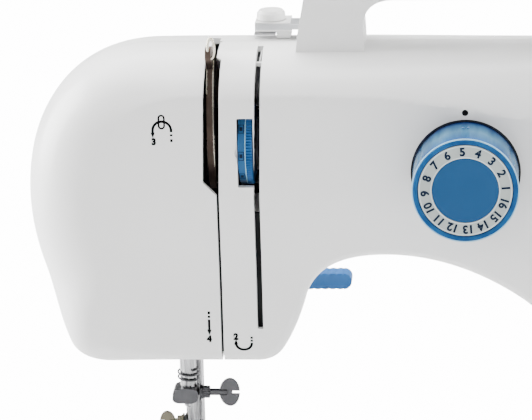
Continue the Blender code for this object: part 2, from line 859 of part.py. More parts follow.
def needle_frame():
    """The gate that carries the needle bar and swings with it for a zigzag stitch."""
    x, y = NEEDLE_X, NEEDLE_Y
    back = box(
        "needle_bar_frame",
        (x - 6 * mm, x + 5.2 * mm),
        (y + 5 * mm, y + 7.5 * mm),
        (150 * mm, 252 * mm),
        "cast",
    )
    arms = []
    for i, low in enumerate((150 * mm, 226 * mm)):
        ring = [
            rounded((-6 * mm, 5.2 * mm), (-6 * mm, 6 * mm), 3 * mm, 3),
            circle(0, 0, NEEDLE_BAR_R + 0.08 * mm, 20),
        ]
        arms.append(flat(f"gate_arm_{i}", [ring[0], ring[1]], 4 * mm, (x, y, low + 4 * mm), IN_XY))
    pivot = rod("gate_pivot", "Y", (x, 250 * mm), y + 7 * mm, y + 30 * mm, 2.5 * mm, sides=16)
    join(back, *arms, pivot)
    swing_eye = rod("gate_eye", "Y", (x - 3 * mm, 200 * mm), y, y + 9 * mm, 1.5 * mm, sides=10)
    return cut(back, swing_eye)


def presser_assembly():
    x, y = NEEDLE_X, PRESSER_Y
    bar = rod("presser_bar", "Z", (x, y), 89 * mm, 241 * mm, PRESSER_BAR_R, "chrome", 20)
    arm = box("presser_arm", (x - 5 * mm, x), (y - 5 * mm, 61 * mm), (184.6 * mm, 192 * mm))
    join(bar, arm)
    turns, per_turn = 7, 9
    count = turns * per_turn
    low, high = 195.5 * mm, 230.5 * mm
    coil = []
    for i in range(count + 1):
        angle = 2 * math.pi * i / per_turn
        place = (x + 5.4 * mm * math.cos(angle), y + 5.4 * mm * math.sin(angle))
        coil.append((*place, low + (high - low) * i / count))
    wire("presser_spring", coil, 0.7 * mm, "steel", 1)
    holder = flat(
        "presser_foot_holder",
        [
            rounded((-5.6 * mm, 5.6 * mm), (-5.6 * mm, 5.6 * mm), 2 * mm, 3),
            circle(0, 0, PRESSER_BAR_R + 0.08 * mm, 20),
        ],
        7 * mm,
        (x, y, FOOT_SCREW_Z - 3.5 * mm),
        IN_XY,
        "steel",
    )
    toe, heel = y - 8.5 * mm, y - 2.5 * mm
    outline = [
        (y - 5.6 * mm, 97 * mm),
        (y - 5.6 * mm, 94 * mm),
        (toe, 86 * mm),
        (toe, FOOT_PIN_Z - 2.2 * mm),
        (heel, FOOT_PIN_Z - 2.2 * mm),
        (heel, 86 * mm),
        (y, 94 * mm),
        (y, 97 * mm),
    ]
    join(holder, flat("holder_ankle", [outline], 4.4 * mm, (x, 0, 0), IN_YZ))
    pin = (FOOT_PIN_Y, FOOT_PIN_Z)
    screw_at = (y, FOOT_SCREW_Z)
    cut(
        holder,
        rod("foot_screw_hole", "X", screw_at, x - 9 * mm, x - 3 * mm, 1.45 * mm, sides=12),
        rod("ankle_hole", "X", pin, x - 9 * mm, x + 9 * mm, 1.15 * mm, sides=12),
        rod("ankle_bore", "Z", (x, y), 88 * mm, 105 * mm, PRESSER_BAR_R + 0.1 * mm, sides=20),
    )
    screw = rod("foot_screw", "X", screw_at, x - 8.5 * mm, x - 3.8 * mm, 1.3 * mm, "steel", 12)
    collar = rod("foot_screw_collar", "X", screw_at, x - 7.6 * mm, x - 6.1 * mm, 3 * mm, sides=16)
    outline = [(3.4 * mm * math.cos(a), 5.5 * mm * math.sin(a)) for _, a in angles(20)]
    place = (x - 9.4 * mm, y, FOOT_SCREW_Z)
    join(screw, collar, flat("foot_screw_head", [outline], 0.8 * mm, place, IN_XZ))


FOOT_PIN_Y = PRESSER_Y - 5.8 * mm
FOOT_PIN_Z = 78.6 * mm
FOOT_SCREW_Z = 96.5 * mm
SOLE = BED + 1.9 * mm


def presser_foot():
    """The sole with two toes, its needle opening, two ears and the cross pin."""
    x, y = NEEDLE_X, NEEDLE_Y
    outline = [
        (-10.5, -5.6), (-9, -5.9), (-2.4, -5.9), (-2.1, -4), (-2.1, -2.4), (-4.4, -2.1), (-4.4, 2.1),
        (4.4, 2.1), (4.4, -2.1), (2.1, -2.4), (2.1, -4), (2.4, -5.9), (9, -5.9), (10.5, -5.6),
        (10.5, 24), (-10.5, 24),
    ]
    points = [(u * mm, v * mm) for u, v in outline]
    sole = flat("presser_foot", [points], 0.8 * mm, (x, y, SOLE + 0.8 * mm), IN_XY, "chrome")
    pin = (FOOT_PIN_Y, FOOT_PIN_Z)
    ears = []
    for side in (-1, 1):
        ears.append(
            flat(
                f"foot_ear_{side}",
                [capsule((FOOT_PIN_Y, SOLE + 1 * mm), pin, 2.6 * mm, 2.2 * mm, 7)],
                0.8 * mm,
                (x + side * 6.4 * mm, 0, 0),
                IN_YZ,
            )
        )
    clean = box("sole_trim", (x - 12 * mm, x + 12 * mm), (0, 60 * mm), (60 * mm, SOLE))
    axle = rod("foot_pin", "X", pin, x - 6.6 * mm, x + 6.6 * mm, 1.0 * mm, sides=12)
    join(sole, *ears, axle)
    cut(sole, clean)


def presser_lifter():
    """The lever behind the head that raises the foot: hub, shaft, cam and a ribbed handle."""
    x, z = NEEDLE_X, LIFTER_Z
    tip = (-64 * mm, 149.5 * mm)
    root = (-84 * mm, 151.5 * mm)
    arm = flat(
        "presser_lifter",
        [capsule((x, z), root, 8 * mm, 4 * mm, 8)],
        2 * mm,
        (0, 79.5 * mm, 0),
        IN_XZ,
        "blue",
    )
    ribs = 6
    length = tip[0] - root[0] + 4 * mm
    top, bottom = [], []
    for i in range(ribs * 4 + 1):
        u = root[0] - 4 * mm + length * i / (ribs * 4)
        wave = 0.5 * mm * math.cos(2 * math.pi * i / 4)
        top.append((u, 153.2 * mm + wave))
        bottom.append((u, 146 * mm - wave))
    end = circle(tip[0], 149.6 * mm, 3.6 * mm, 7, math.pi / 2, -math.pi / 2)
    handle = flat("lifter_handle", [top + end + bottom[::-1]], 4.6 * mm, (0, 79.9 * mm, 0), IN_XZ)
    shaft = rod("lifter_shaft", "Y", (x, z), 50 * mm, 80 * mm, 4 * mm, sides=16)
    cam = flat(
        "lifter_cam",
        [capsule((x, z), (x + 6.93 * mm, z + 4 * mm), 8.6 * mm, 6.6 * mm, 8)],
        4 * mm,
        (0, 55 * mm, 0),
        IN_XZ,
    )
    join(arm, handle, shaft, cam)


def take_up_lever():
    """A flat steel arm that swings in the slot, with an open thread eye at its tip."""
    pivot = (TAKE_UP_PIVOT_Y, TAKE_UP_PIVOT_Z)
    reach = (math.cos(TAKE_UP_ANGLE), math.sin(TAKE_UP_ANGLE))
    tip = (pivot[0] + TAKE_UP_REACH * reach[0], pivot[1] + TAKE_UP_REACH * reach[1])
    neck = (pivot[0] + 48 * mm * reach[0], pivot[1] + 48 * mm * reach[1])
    arm = flat(
        "take_up_lever",
        [capsule(pivot, neck, 5.2 * mm, 4 * mm, 9), circle(*pivot, 3.1 * mm, 16)],
        0.9 * mm,
        (TAKE_UP_X, 0, 0),
        IN_YZ,
        "chrome",
    )
    hook_arm = flat("lever_hook", [capsule(neck, tip, 4 * mm, 3.6 * mm, 10)], 0.9 * mm, (TAKE_UP_X, 0, 0), IN_YZ)
    join(arm, hook_arm)
    eye = rod("lever_eye", "X", tip, TAKE_UP_X - 5 * mm, TAKE_UP_X + 5 * mm, 1.5 * mm, sides=12)
    return cut(arm, eye)


def head_frame():
    """The cast skeleton: bearings for both shafts and guides for the presser bar."""
    beam = box("main_frame", (-110 * mm, 140 * mm), (60 * mm, 66 * mm), (196 * mm, 234 * mm), "cast")
    left = box("frame_left", (-110 * mm, -105 * mm), (10 * mm, 66 * mm), (195 * mm, 246 * mm))
    right = box("frame_right", (62 * mm, 67 * mm), (12 * mm, 66 * mm), (196 * mm, 234 * mm))
    end = box("frame_end", (135 * mm, 140 * mm), (12 * mm, 66 * mm), (196 * mm, 234 * mm))
    rear = box("frame_rear", (-142 * mm, -105 * mm), (66 * mm - GAP, 70 * mm), (148 * mm, 250 * mm))
    rear_right = box("frame_joint", (-109 * mm, -104 * mm), (62 * mm, 69 * mm), (200 * mm, 240 * mm))
    guides = []
    for i, low in enumerate((150 * mm, 232 * mm)):
        guides.append(
            box(f"guide_{i}", (-137 * mm, -124 * mm), (34 * mm, 68 * mm), (low, low + 8 * mm))
        )
    guides.append(
        box("pivot_block", (-137 * mm, -124 * mm), (47 * mm, 68 * mm), (236 * mm, 255 * mm))
    )
    stub = rod("take_up_pin", "X", (TAKE_UP_PIVOT_Y, TAKE_UP_PIVOT_Z), -119 * mm, -108 * mm, 3 * mm, sides=16)
    join(beam, left, right, end, rear, rear_right, *guides, stub)
    presser = rod("guide_bore", "Z", (NEEDLE_X, PRESSER_Y), 140 * mm, 260 * mm, PRESSER_BAR_R + 0.08 * mm)
    lifter = rod("frame_lifter_bore", "Y", (NEEDLE_X, LIFTER_Z), 62 * mm, 75 * mm, 4.1 * mm, sides=16)
    bore = SHAFT_R + 0.08 * mm
    shaft = rod("frame_shaft_bore", "X", (SHAFT_Y, SHAFT_Z), -120 * mm, 150 * mm, bore)
    gate = rod("gate_bore", "Y", (NEEDLE_X, 250 * mm), 40 * mm, 58 * mm, 2.58 * mm, sides=16)
    return cut(beam, presser, lifter, shaft, gate)


def main_drive():
    """The main shaft with its crank, pulleys, handwheel and clutch knob."""
    shaft = rod(
        "main_shaft", "X", (SHAFT_Y, SHAFT_Z), -119.5 * mm, 178 * mm, SHAFT_R, "steel", 16
    )
    place = (TIMING_X, SHAFT_Y, SHAFT_Z)
    join(shaft, flat("upper_pulley", [circle(0, 0, 11 * mm, 24)], 5 * mm, place, IN_YZ))
    pin = (10.5 * mm, 0)
    disc = [
        circle(0, 0, 15 * mm, 28),
        circle(0, 0, SHAFT_R + 0.08 * mm, 16),
    ]
    crank_x = -121.2 * mm
    crank = flat("crank_disc", disc, 2.2 * mm, (crank_x, SHAFT_Y, SHAFT_Z), IN_YZ, "cast")
    stud = rod(
        "crank_pin", "X", (SHAFT_Y + pin[0], SHAFT_Z), crank_x - 3 * mm, crank_x, 2.2 * mm, sides=12
    )
    join(crank, stud)
    handwheel()


def belt(name, x, wheels, thickness, half):
    """A belt round two wheels of (y, z, radius), as a plate with an open middle."""
    (ya, za, ra), (yb, zb, rb) = wheels
    loops = []
    for grow in (thickness + GAP, GAP):
        loops.append(capsule((ya, za), (yb, zb), ra + grow, rb + grow, 12))
    return flat(name, loops, half, (x, 0, 0), IN_YZ, "black")


def handwheel():
    """A ribbed wheel on the right-hand end of the main shaft, with the drive pulley inside."""
    ring = [circle(0, 0, 24 * mm, 32), circle(0, 0, SHAFT_R + 0.08 * mm, 16)]
    place = (DRIVE_X, SHAFT_Y, SHAFT_Z)
    flat("drive_pulley", ring, 3.4 * mm, place, IN_YZ, "black")
    wheel = turned(
        "handwheel",
        [
            (12.5 * mm, 190 * mm),
            (22 * mm, 189.5 * mm),
            (31 * mm, 188 * mm),
            (34 * mm, 184.5 * mm),
            (34 * mm, 177.5 * mm),
            (31 * mm, 174 * mm),
            (10.5 * mm, 173 * mm),
            (10.5 * mm, 168 * mm),
            (SHAFT_R + 0.1 * mm, 168 * mm),
            (SHAFT_R + 0.1 * mm, 184 * mm),
            (12.5 * mm, 184 * mm),
            (12.5 * mm, 190 * mm),
        ],
        "X",
        (0, SHAFT_Y, SHAFT_Z),
        "white",
        40,
    )
    turned(
        "clutch_knob",
        [
            (0, 196 * mm),
            (10 * mm, 195.6 * mm),
            (11.8 * mm, 193.5 * mm),
            (11.8 * mm, 184.6 * mm),
            (0, 184.6 * mm),
        ],
        "X",
        (0, SHAFT_Y, SHAFT_Z),
        "white",
        24,
    )
    return wheel


def motor():
    """The motor in the foot of the column, its pulley and the two belts."""
    y, z = MOTOR_Y, MOTOR_Z
    body = rod("motor", "X", (y, z), 96 * mm, 140 * mm, 22 * mm, "steel", 24)
    bracket = box("motor_bracket", (100 * mm, 136 * mm), (y + 10 * mm, 64 * mm), (z - 12 * mm, z + 12 * mm))
    bearing = rod("motor_bearing", "X", (y, z), 120 * mm, 145 * mm, 2.5 * mm, sides=12)
    join(body, bracket)
    cut(body, bearing)
    pulley = rod("motor_pulley", "X", (y, z), 122 * mm, 154 * mm, 2.4 * mm, "steel", 12)
    wheel = flat("pulley_wheel", [circle(0, 0, 7 * mm, 20)], 3.4 * mm, (DRIVE_X, y, z), IN_YZ)
    join(pulley, wheel)
    belt("motor_belt", DRIVE_X, ((SHAFT_Y, SHAFT_Z, 24 * mm), (y, z, 7 * mm)), 2 * mm, 2.4 * mm)
    belt(
        "timing_belt",
        TIMING_X,
        ((SHAFT_Y, SHAFT_Z, 11 * mm), (LOWER_Y, LOWER_Z, 11 * mm)),
        1.6 * mm,
        4 * mm,
    )


# Controls ---------------------------------------------------------------------
def pattern_dial():
    """The stitch selector: a fluted cup, an inlaid number ring, a centre cap and its cams."""
    face = FRONT_Y - 0.5 * mm
    depth = 23 * mm
    turned(
        "pattern_dial",
        [
            (0, 30 * mm),
            (4 * mm, 30 * mm),
            (4 * mm, 22 * mm),
            (13 * mm, 22 * mm),
            (13 * mm, 17.4 * mm),
            (11 * mm, 17.4 * mm),
            (11 * mm, 14.6 * mm),
            (13.5 * mm, 14.6 * mm),
            (13.5 * mm, 10 * mm),
            (4 * mm, 10 * mm),
            (4 * mm, 0.2 * mm),
            (22.9 * mm, 0.2 * mm),
            (22.6 * mm, -5 * mm),
            (21.2 * mm, -depth + 1 * mm),
            (20.4 * mm, -depth),
            (19.4 * mm, -depth),
            (19.2 * mm, -depth + 1.4 * mm),
            (0, -depth + 1.4 * mm),
        ],
        "Y",
        (DIAL_X, face, DIAL_Z),
        "blue",
        40,
    )
    ring = [circle(0, 0, 19 * mm, 36), circle(0, 0, 13.6 * mm, 32)]
    place = (DIAL_X, face - depth + 0.75 * mm, DIAL_Z)
    flat("pattern_number_ring", ring, 0.45 * mm, place, IN_XZ, "ring_grey")
    flat("pattern_dial_cap", [circle(0, 0, 13.4 * mm, 32)], 0.45 * mm, place, IN_XZ, "blue")


def stitch_length_dial():
    face = FRONT_Y - 0.5 * mm
    turned(
        "stitch_length_dial",
        [
            (0, 20 * mm),
            (3 * mm, 20 * mm),
            (3 * mm, 0.2 * mm),
            (15.5 * mm, 0.2 * mm),
            (15.3 * mm, -4 * mm),
            (14 * mm, -14 * mm),
            (13 * mm, -15 * mm),
            (0, -15 * mm),
        ],
        "Y",
        (LENGTH_X, face, LENGTH_Z),
        "blue",
        32,
    )


def tension_dial():
    """The thread tension wheel, edge out of its window, and the spindle that carries it."""
    x0, x1 = -103.4 * mm + GAP, -97.5 * mm - GAP
    ring = [circle(0, 0, 17 * mm, 40), circle(0, 0, 2.6 * mm, 12)]
    place = ((x0 + x1) / 2, TENSION_Y, TENSION_Z)
    flat("tension_dial", ring, (x1 - x0) / 2, place, IN_YZ, "blue")
    centre = (TENSION_Y, TENSION_Z)
    spindle = rod("tension_unit", "X", centre, -104.6 * mm, -88 * mm, 2.5 * mm, "steel", 12)
    discs = []
    for i, x in enumerate((-95.6, -93.4)):
        discs.append(rod(f"disc_{i}", "X", centre, (x - 0.5) * mm, (x + 0.5) * mm, 11 * mm, sides=24))
    block = box("tension_block", (-91 * mm, -86 * mm), (TENSION_Y - 4 * mm, 30 * mm), (TENSION_Z - 6 * mm, TENSION_Z + 4 * mm))
    join(spindle, *discs, block)


TENSION_Y = 9.6 * mm


def reverse_lever():
    """The reverse lever: a blue paddle on a white plate, pivoted behind the panel."""
    x, z = REVERSE_X, REVERSE_Z
    arm = flat(
        "reverse_lever",
        [[(18 * mm, z - 4 * mm), (18 * mm, z + 4 * mm), (-8 * mm, z + 4.5 * mm),
          (-20 * mm, z + 2 * mm), (-24 * mm, z - 5 * mm), (-22 * mm, z - 8 * mm),
          (-16 * mm, z - 5 * mm), (-8 * mm, z - 4 * mm)]],
        7.5 * mm,
        (x, 0, 0),
        IN_YZ,
        "blue",
    )
    bevel(arm, 1.6 * mm, 2)
    return smooth(arm)


# Top fittings -----------------------------------------------------------------
def carrying_handle():
    """A fixed handle of one moulding that stands on the top of the arm."""
    z = ARM_TOP + GAP
    outer = [
        (-80, 0), (-71, 30), ((-69.5, 34), (-66, 35.6), (-60, 35.6), 5),
        (56, 35.6), ((62, 35.6), (65.5, 34), (67, 30), 5), (76, 0), (48, 0),
        (43, 14), ((41.5, 18), (39, 20), (34, 20), 5), (-38, 20),
        ((-43, 20), (-45.5, 18), (-47, 14), 5), (-52, 0),
    ]
    outline = [(x, v + z) for x, v in path(outer[0], *outer[1:])]
    handle = flat("carrying_handle", [outline], 11 * mm, (0, 31 * mm, 0), IN_XZ, "white")
    bevel(handle, 2.5 * mm, 2, 25)
    return smooth(handle, 30)


def thread_guides():
    """Upper thread guide: a moulded arm from the handle's foot, with a tension cap and spring."""
    y = 39 * mm
    z = ARM_TOP + GAP
    arm = box("thread_guide_arm", (-98 * mm, -83 * mm), (y - 7 * mm, y + 7 * mm), (z + 3.2 * mm, z + 7 * mm), "white")
    stem = box("guide_stem", (-89 * mm, -83 * mm), (y - 5 * mm, y + 5 * mm), (z, z + 5 * mm))
    bevel(join(arm, stem), 0.8 * mm, 2)
    turned(
        "pretension_cap",
        [
            (0, z + 11.4 * mm),
            (5 * mm, z + 11.2 * mm),
            (6 * mm, z + 10 * mm),
            (6.2 * mm, z + 7.3 * mm),
            (0, z + 7.3 * mm),
        ],
        "Z",
        (-91.5 * mm, y, 0),
        "white",
        24,
    )
    box("pretension_spring", (-98.5 * mm, -89.4 * mm), (y - 5 * mm, y + 5 * mm), (z + 1.2 * mm, z + 1.9 * mm), "steel")


def spool_pins():
    z = ARM_TOP
    for label, x in (("left", 82), ("right", 108)):
        turned(
            "spool_pin_" + label,
            [
                (0, z + 34 * mm),
                (1.6 * mm, z + 33.4 * mm),
                (2.6 * mm, z + 30 * mm),
                (2.6 * mm, z + 2.4 * mm),
                (6.5 * mm, z + 1.8 * mm),
                (6.5 * mm, z + GAP),
                (0, z + GAP),
            ],
            "Z",
            (x * mm, 54 * mm, 0),
            "white",
            16,
        )


def bobbin_winder():
    z = ARM_TOP
    x, y = 110 * mm, 36 * mm
    turned(
        "bobbin_winder_spindle",
        [
            (0, z + 19 * mm),
            (2.2 * mm, z + 18.5 * mm),
            (2.8 * mm, z + 16 * mm),
            (2.8 * mm, z + 3 * mm),
            (6.5 * mm, z + 2.4 * mm),
            (6.5 * mm, z + GAP),
            (0, z + GAP),
        ],
        "Z",
        (x, y, 0),
        "white",
        20,
    )
    turned(
        "bobbin_winder_stop",
        [
            (0, z + 9 * mm),
            (3.6 * mm, z + 8.6 * mm),
            (4.4 * mm, z + 7.4 * mm),
            (4.4 * mm, z + GAP),
            (0, z + GAP),
        ],
        "Z",
        (x + 17 * mm, y - 2 * mm, 0),
        "white",
        16,
    )


def electrics():
    """The moulding with the mains inlet, and the rocker switch beside it."""
    panel = box(
        "mains_inlet",
        (174 * mm, 185 * mm),
        (2.3 * mm, 55.7 * mm),
        (24.3 * mm, 43.7 * mm),
        "black",
    )
    well = box("inlet_well", (176 * mm, 190 * mm), (5 * mm, 31 * mm), (27 * mm, 41 * mm))
    hole = box("switch_well", (176 * mm, 190 * mm), (44 * mm, 54 * mm), (26 * mm, 42 * mm))
    pins = []
    for i, y in enumerate((10, 18, 26)):
        centre = (y * mm, 34 * mm)
        pins.append(rod(f"inlet_pin_{i}", "X", centre, 175 * mm, 183.5 * mm, 1.2 * mm, sides=10))
    join(cut(panel, well, hole), *pins)
    outline = [(178.6, 27.4), (185.2, 27), (184.6, 34), (188, 40), (178.6, 40)]
    points = [(x * mm, z * mm) for x, z in outline]
    flat("power_switch", [points], 4.6 * mm, (0, 49 * mm, 0), IN_XZ, "black")


def lamp():
    """The LED sewing lamp below the head, behind the needle."""
    return box("sewing_lamp", (-106 * mm, -96 * mm), (12 * mm, 28 * mm), (142 * mm, 148 * mm), "clear")


def build():
    front_cover()
    face_cover()
    rear_cover()
    base_housing()
    base_plate()
    rubber_feet()
    free_arm()
    needle_plate()
    bobbin_cover()
    accessory_tray()
    tray_door()
    hook()
    lower_drive()
    feed_dog()
    needle_assembly()
    needle_frame()
    presser_assembly()
    presser_foot()
    presser_lifter()
    take_up_lever()
    head_frame()
    main_drive()
    motor()
    pattern_dial()
    stitch_length_dial()
    tension_dial()
    reverse_lever()
    carrying_handle()
    thread_guides()
    spool_pins()
    bobbin_winder()
    electrics()
    lamp()


# Points on the joint axes, where the moving pieces have their origins.
PIVOTS = {
    (0, SHAFT_Y, SHAFT_Z): ("main_shaft", "crank_disc", "drive_pulley", "handwheel", "clutch_knob"),
    (0, LOWER_Y, LOWER_Z): ("lower_shaft",),
    (NEEDLE_X, HOOK_Y, 50 * mm): ("rotary_hook", "bobbin"),
    (140 * mm, MOTOR_Y, MOTOR_Z): ("motor_pulley",),
    (NEEDLE_X, NEEDLE_Y, 250 * mm): ("needle_bar_frame",),
    (NEEDLE_X, NEEDLE_Y, CLAMP_Z): ("needle_bar", "needle_clamp", "needle_clamp_screw", "needle"),
    (NEEDLE_X, PRESSER_Y, FOOT_SCREW_Z): ("presser_bar", "presser_foot_holder", "foot_screw"),
    (NEEDLE_X, FOOT_PIN_Y, FOOT_PIN_Z): ("presser_foot",),
    (NEEDLE_X, 70 * mm, LIFTER_Z): ("presser_lifter",),
    (TAKE_UP_X, TAKE_UP_PIVOT_Y, TAKE_UP_PIVOT_Z): ("take_up_lever",),
    (-100 * mm, TENSION_Y, TENSION_Z): ("tension_dial",),
    (DIAL_X, FRONT_Y, DIAL_Z): ("pattern_dial", "pattern_number_ring", "pattern_dial_cap"),
    (LENGTH_X, FRONT_Y, LENGTH_Z): ("stitch_length_dial",),
    (REVERSE_X, 14 * mm, REVERSE_Z): ("reverse_lever",),
    (180 * mm, 34 * mm, 34 * mm): ("power_switch",),
    (-80 * mm, -85 * mm, 22.35 * mm): ("tray_door",),
    (-196.5 * mm, 30.2 * mm, 205 * mm): ("face_cover",),
}


def set_origins():
    """Moves the origin of each moving piece onto its joint axis, and leaves its shape in place."""
    for point, names in PIVOTS.items():
        for name in names:
            obj = bpy.data.objects[name]
            if any(modifier.type == "SCREW" for modifier in obj.modifiers):
                continue  # a turned piece has its origin on its axis already
            shift = obj.matrix_world.inverted() @ Vector(point)
            obj.data.transform(Matrix.Translation(-shift))
            obj.matrix_world = obj.matrix_world @ Matrix.Translation(shift)


build()
bpy.context.view_layer.update()
set_origins()
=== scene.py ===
"""Looks for a compact household sewing machine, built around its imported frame.

Lengths inside the outline tables are in millimetres. Everything else is in metres.
"""

import json
import math

import bmesh
import bpy
from mathutils import Matrix, Vector


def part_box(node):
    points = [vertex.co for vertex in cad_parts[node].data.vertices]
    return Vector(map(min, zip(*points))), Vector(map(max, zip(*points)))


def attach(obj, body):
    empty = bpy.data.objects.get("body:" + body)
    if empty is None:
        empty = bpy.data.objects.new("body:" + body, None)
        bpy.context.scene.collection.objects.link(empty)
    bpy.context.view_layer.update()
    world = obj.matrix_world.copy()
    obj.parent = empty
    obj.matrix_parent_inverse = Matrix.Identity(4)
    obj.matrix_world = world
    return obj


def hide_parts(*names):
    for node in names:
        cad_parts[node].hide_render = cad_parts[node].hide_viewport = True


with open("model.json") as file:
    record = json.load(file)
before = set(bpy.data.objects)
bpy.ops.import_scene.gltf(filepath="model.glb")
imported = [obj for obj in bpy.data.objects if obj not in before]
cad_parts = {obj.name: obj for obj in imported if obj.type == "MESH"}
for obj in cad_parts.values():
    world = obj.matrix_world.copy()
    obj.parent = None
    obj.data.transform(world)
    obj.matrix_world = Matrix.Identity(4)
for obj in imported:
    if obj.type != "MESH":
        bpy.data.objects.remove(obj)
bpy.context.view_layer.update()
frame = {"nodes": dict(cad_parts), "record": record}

mm = 0.001

JOINTS = {joint["name"]: joint for joint in frame["record"]["behaviour"]["joints"]}
NODES = frame["nodes"]


def joint_at(name):
    return Vector(JOINTS[name]["pos_m"])


def corners(node):
    """The low and the high corner of a node's box."""
    return [Vector(corner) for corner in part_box(node)]


# Places read from the frame ---------------------------------------------------
FRONT_LOW, FRONT_HIGH = corners("front_cover")
REAR_LOW, REAR_HIGH = corners("rear_cover")
FACE_HIGH = corners("face_cover")[1]
FRONT_Y = FRONT_LOW.y
SEAM_Y = (FRONT_HIGH.y + REAR_LOW.y) / 2
SEAM_GAP = (REAR_LOW.y - FRONT_HIGH.y) / 2
BACK_Y = REAR_HIGH.y
FOOT_Z = FRONT_LOW.z
SPLIT_RIGHT = FRONT_LOW.x
SPLIT_LEFT = FACE_HIGH.x
SHAFT = joint_at("handwheel_turn")
DIAL = joint_at("pattern_turn")
LENGTH = joint_at("length_turn")
TENSION = joint_at("tension_turn")
NEEDLE = (Vector(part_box("needle")[0]) + Vector(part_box("needle")[1])) / 2
LIFTER = joint_at("presser_lift")
WALL = 2.4 * mm


# Mesh helpers -----------------------------------------------------------------
def linked(name, data):
    obj = bpy.data.objects.new(name, data)
    bpy.context.scene.collection.objects.link(obj)
    return obj


def from_bmesh(name, bm, recalculate=True):
    if recalculate:
        bmesh.ops.recalc_face_normals(bm, faces=bm.faces)
    mesh = bpy.data.meshes.new(name)
    bm.to_mesh(mesh)
    bm.free()
    return linked(name, mesh)


def applied(obj):
    """Replaces an object's data by its evaluated mesh, with no modifiers left."""
    bpy.context.view_layer.update()
    graph = bpy.context.evaluated_depsgraph_get()
    mesh = bpy.data.meshes.new_from_object(obj.evaluated_get(graph))
    if obj.type == "MESH":
        obj.modifiers.clear()
        obj.data = mesh
        return obj
    name, place = obj.name, obj.matrix_world.copy()
    bpy.data.objects.remove(obj)
    made = linked(name, mesh)
    made.matrix_world = place
    return made


def welded(obj, distance=0.000001):
    bm = bmesh.new()
    bm.from_mesh(obj.data)
    bmesh.ops.remove_doubles(bm, verts=bm.verts, dist=distance)
    bmesh.ops.recalc_face_normals(bm, faces=bm.faces)
    bm.to_mesh(obj.data)
    bm.free()
    return obj


def cut(obj, *cutters, operation="DIFFERENCE"):
    """Cuts other objects from an object, and removes them."""
    for cutter in cutters:
        modifier = obj.modifiers.new("Cut", "BOOLEAN")
        modifier.operation = operation
        modifier.solver = "EXACT"
        modifier.object = cutter
    applied(obj)
    for cutter in cutters:
        bpy.data.objects.remove(cutter)
    return obj


def join(obj, *others):
    return cut(obj, *others, operation="UNION")


def bevel(obj, width, segments=3, limit=40):
    modifier = obj.modifiers.new("Bevel", "BEVEL")
    modifier.width = width
    modifier.segments = segments
    modifier.limit_method = "ANGLE"
    modifier.angle_limit = math.radians(limit)
    modifier.harden_normals = False
    return applied(obj)


def smooth(obj, degrees=32):
    """Smooth shading that keeps flat faces flat."""
    obj.data.shade_smooth()
    obj.data.set_sharp_from_angle(angle=math.radians(degrees))
    modifier = obj.modifiers.new("Normals", "WEIGHTED_NORMAL")
    modifier.keep_sharp = True
    modifier.weight = 60
    return applied(obj)


def box(name, x, y, z):
    """A box from three (low, high) pairs."""
    bm = bmesh.new()
    bmesh.ops.create_cube(bm, size=1)
    bmesh.ops.scale(bm, vec=[high - low for low, high in (x, y, z)], verts=bm.verts)
    middle = [(high + low) / 2 for low, high in (x, y, z)]
    bmesh.ops.translate(bm, vec=middle, verts=bm.verts)
    return from_bmesh(name, bm)


AXIS_TURN = {
    "X": Matrix.Rotation(math.pi / 2, 4, "Y"),
    "Y": Matrix.Rotation(-math.pi / 2, 4, "X"),
    "Z": Matrix.Identity(4),
}


def rod(name, axis, centre, low, high, radius, sides=32, end_radius=None):
    """A cylinder or cone along an axis. centre holds the other two coordinates."""
    bm = bmesh.new()
    last = radius if end_radius is None else end_radius
    bmesh.ops.create_cone(
        bm, cap_ends=True, segments=sides, radius1=radius, radius2=last, depth=high - low
    )
    bmesh.ops.transform(bm, matrix=AXIS_TURN[axis], verts=bm.verts)
    place = list(centre)
    place.insert("XYZ".index(axis), (low + high) / 2)
    bmesh.ops.translate(bm, vec=place, verts=bm.verts)
    return from_bmesh(name, bm)


def turned(name, axis, place, profile, steps=64, shape=None):
    """A turned solid from (radius, height) points. shape changes a radius by angle and height."""
    bm = bmesh.new()
    rings = []
    for radius, height in profile:
        ring = []
        for i in range(steps):
            angle = 2 * math.pi * i / steps
            at = radius if shape is None else shape(radius, height, angle)
            ring.append(bm.verts.new((at * math.cos(angle), at * math.sin(angle), height)))
        rings.append(ring)
    for a, b in zip(rings, rings[1:]):
        for i in range(steps):
            j = (i + 1) % steps
            bm.faces.new((a[i], a[j], b[j], b[i]))
    bm.faces.new(rings[0])
    bm.faces.new(rings[-1])
    bmesh.ops.transform(bm, matrix=Matrix.Translation(place) @ AXIS_TURN[axis], verts=bm.verts)
    return from_bmesh(name, bm)


IN_XZ = Matrix(((1, 0, 0, 0), (0, 0, -1, 0), (0, 1, 0, 0), (0, 0, 0, 1)))
IN_YZ = Matrix(((0, 0, 1, 0), (1, 0, 0, 0), (0, 1, 0, 0), (0, 0, 0, 1)))


def plate(name, loops, half, place, turn):
    """A plate from closed outlines in its own plane. The first is outer, the rest are holes."""
    curve = bpy.data.curves.new(name, "CURVE")
    curve.dimensions = "2D"
    curve.fill_mode = "BOTH"
    curve.extrude = half
    for loop in loops:
        spline = curve.splines.new("POLY")
        spline.points.add(len(loop) - 1)
        for point, (u, v) in zip(spline.points, loop):
            point.co = (u, v, 0, 1)
        spline.use_cyclic_u = True
    obj = applied(linked(name, curve))
    obj.data.transform(Matrix.Translation(place) @ turn)
    return welded(obj)


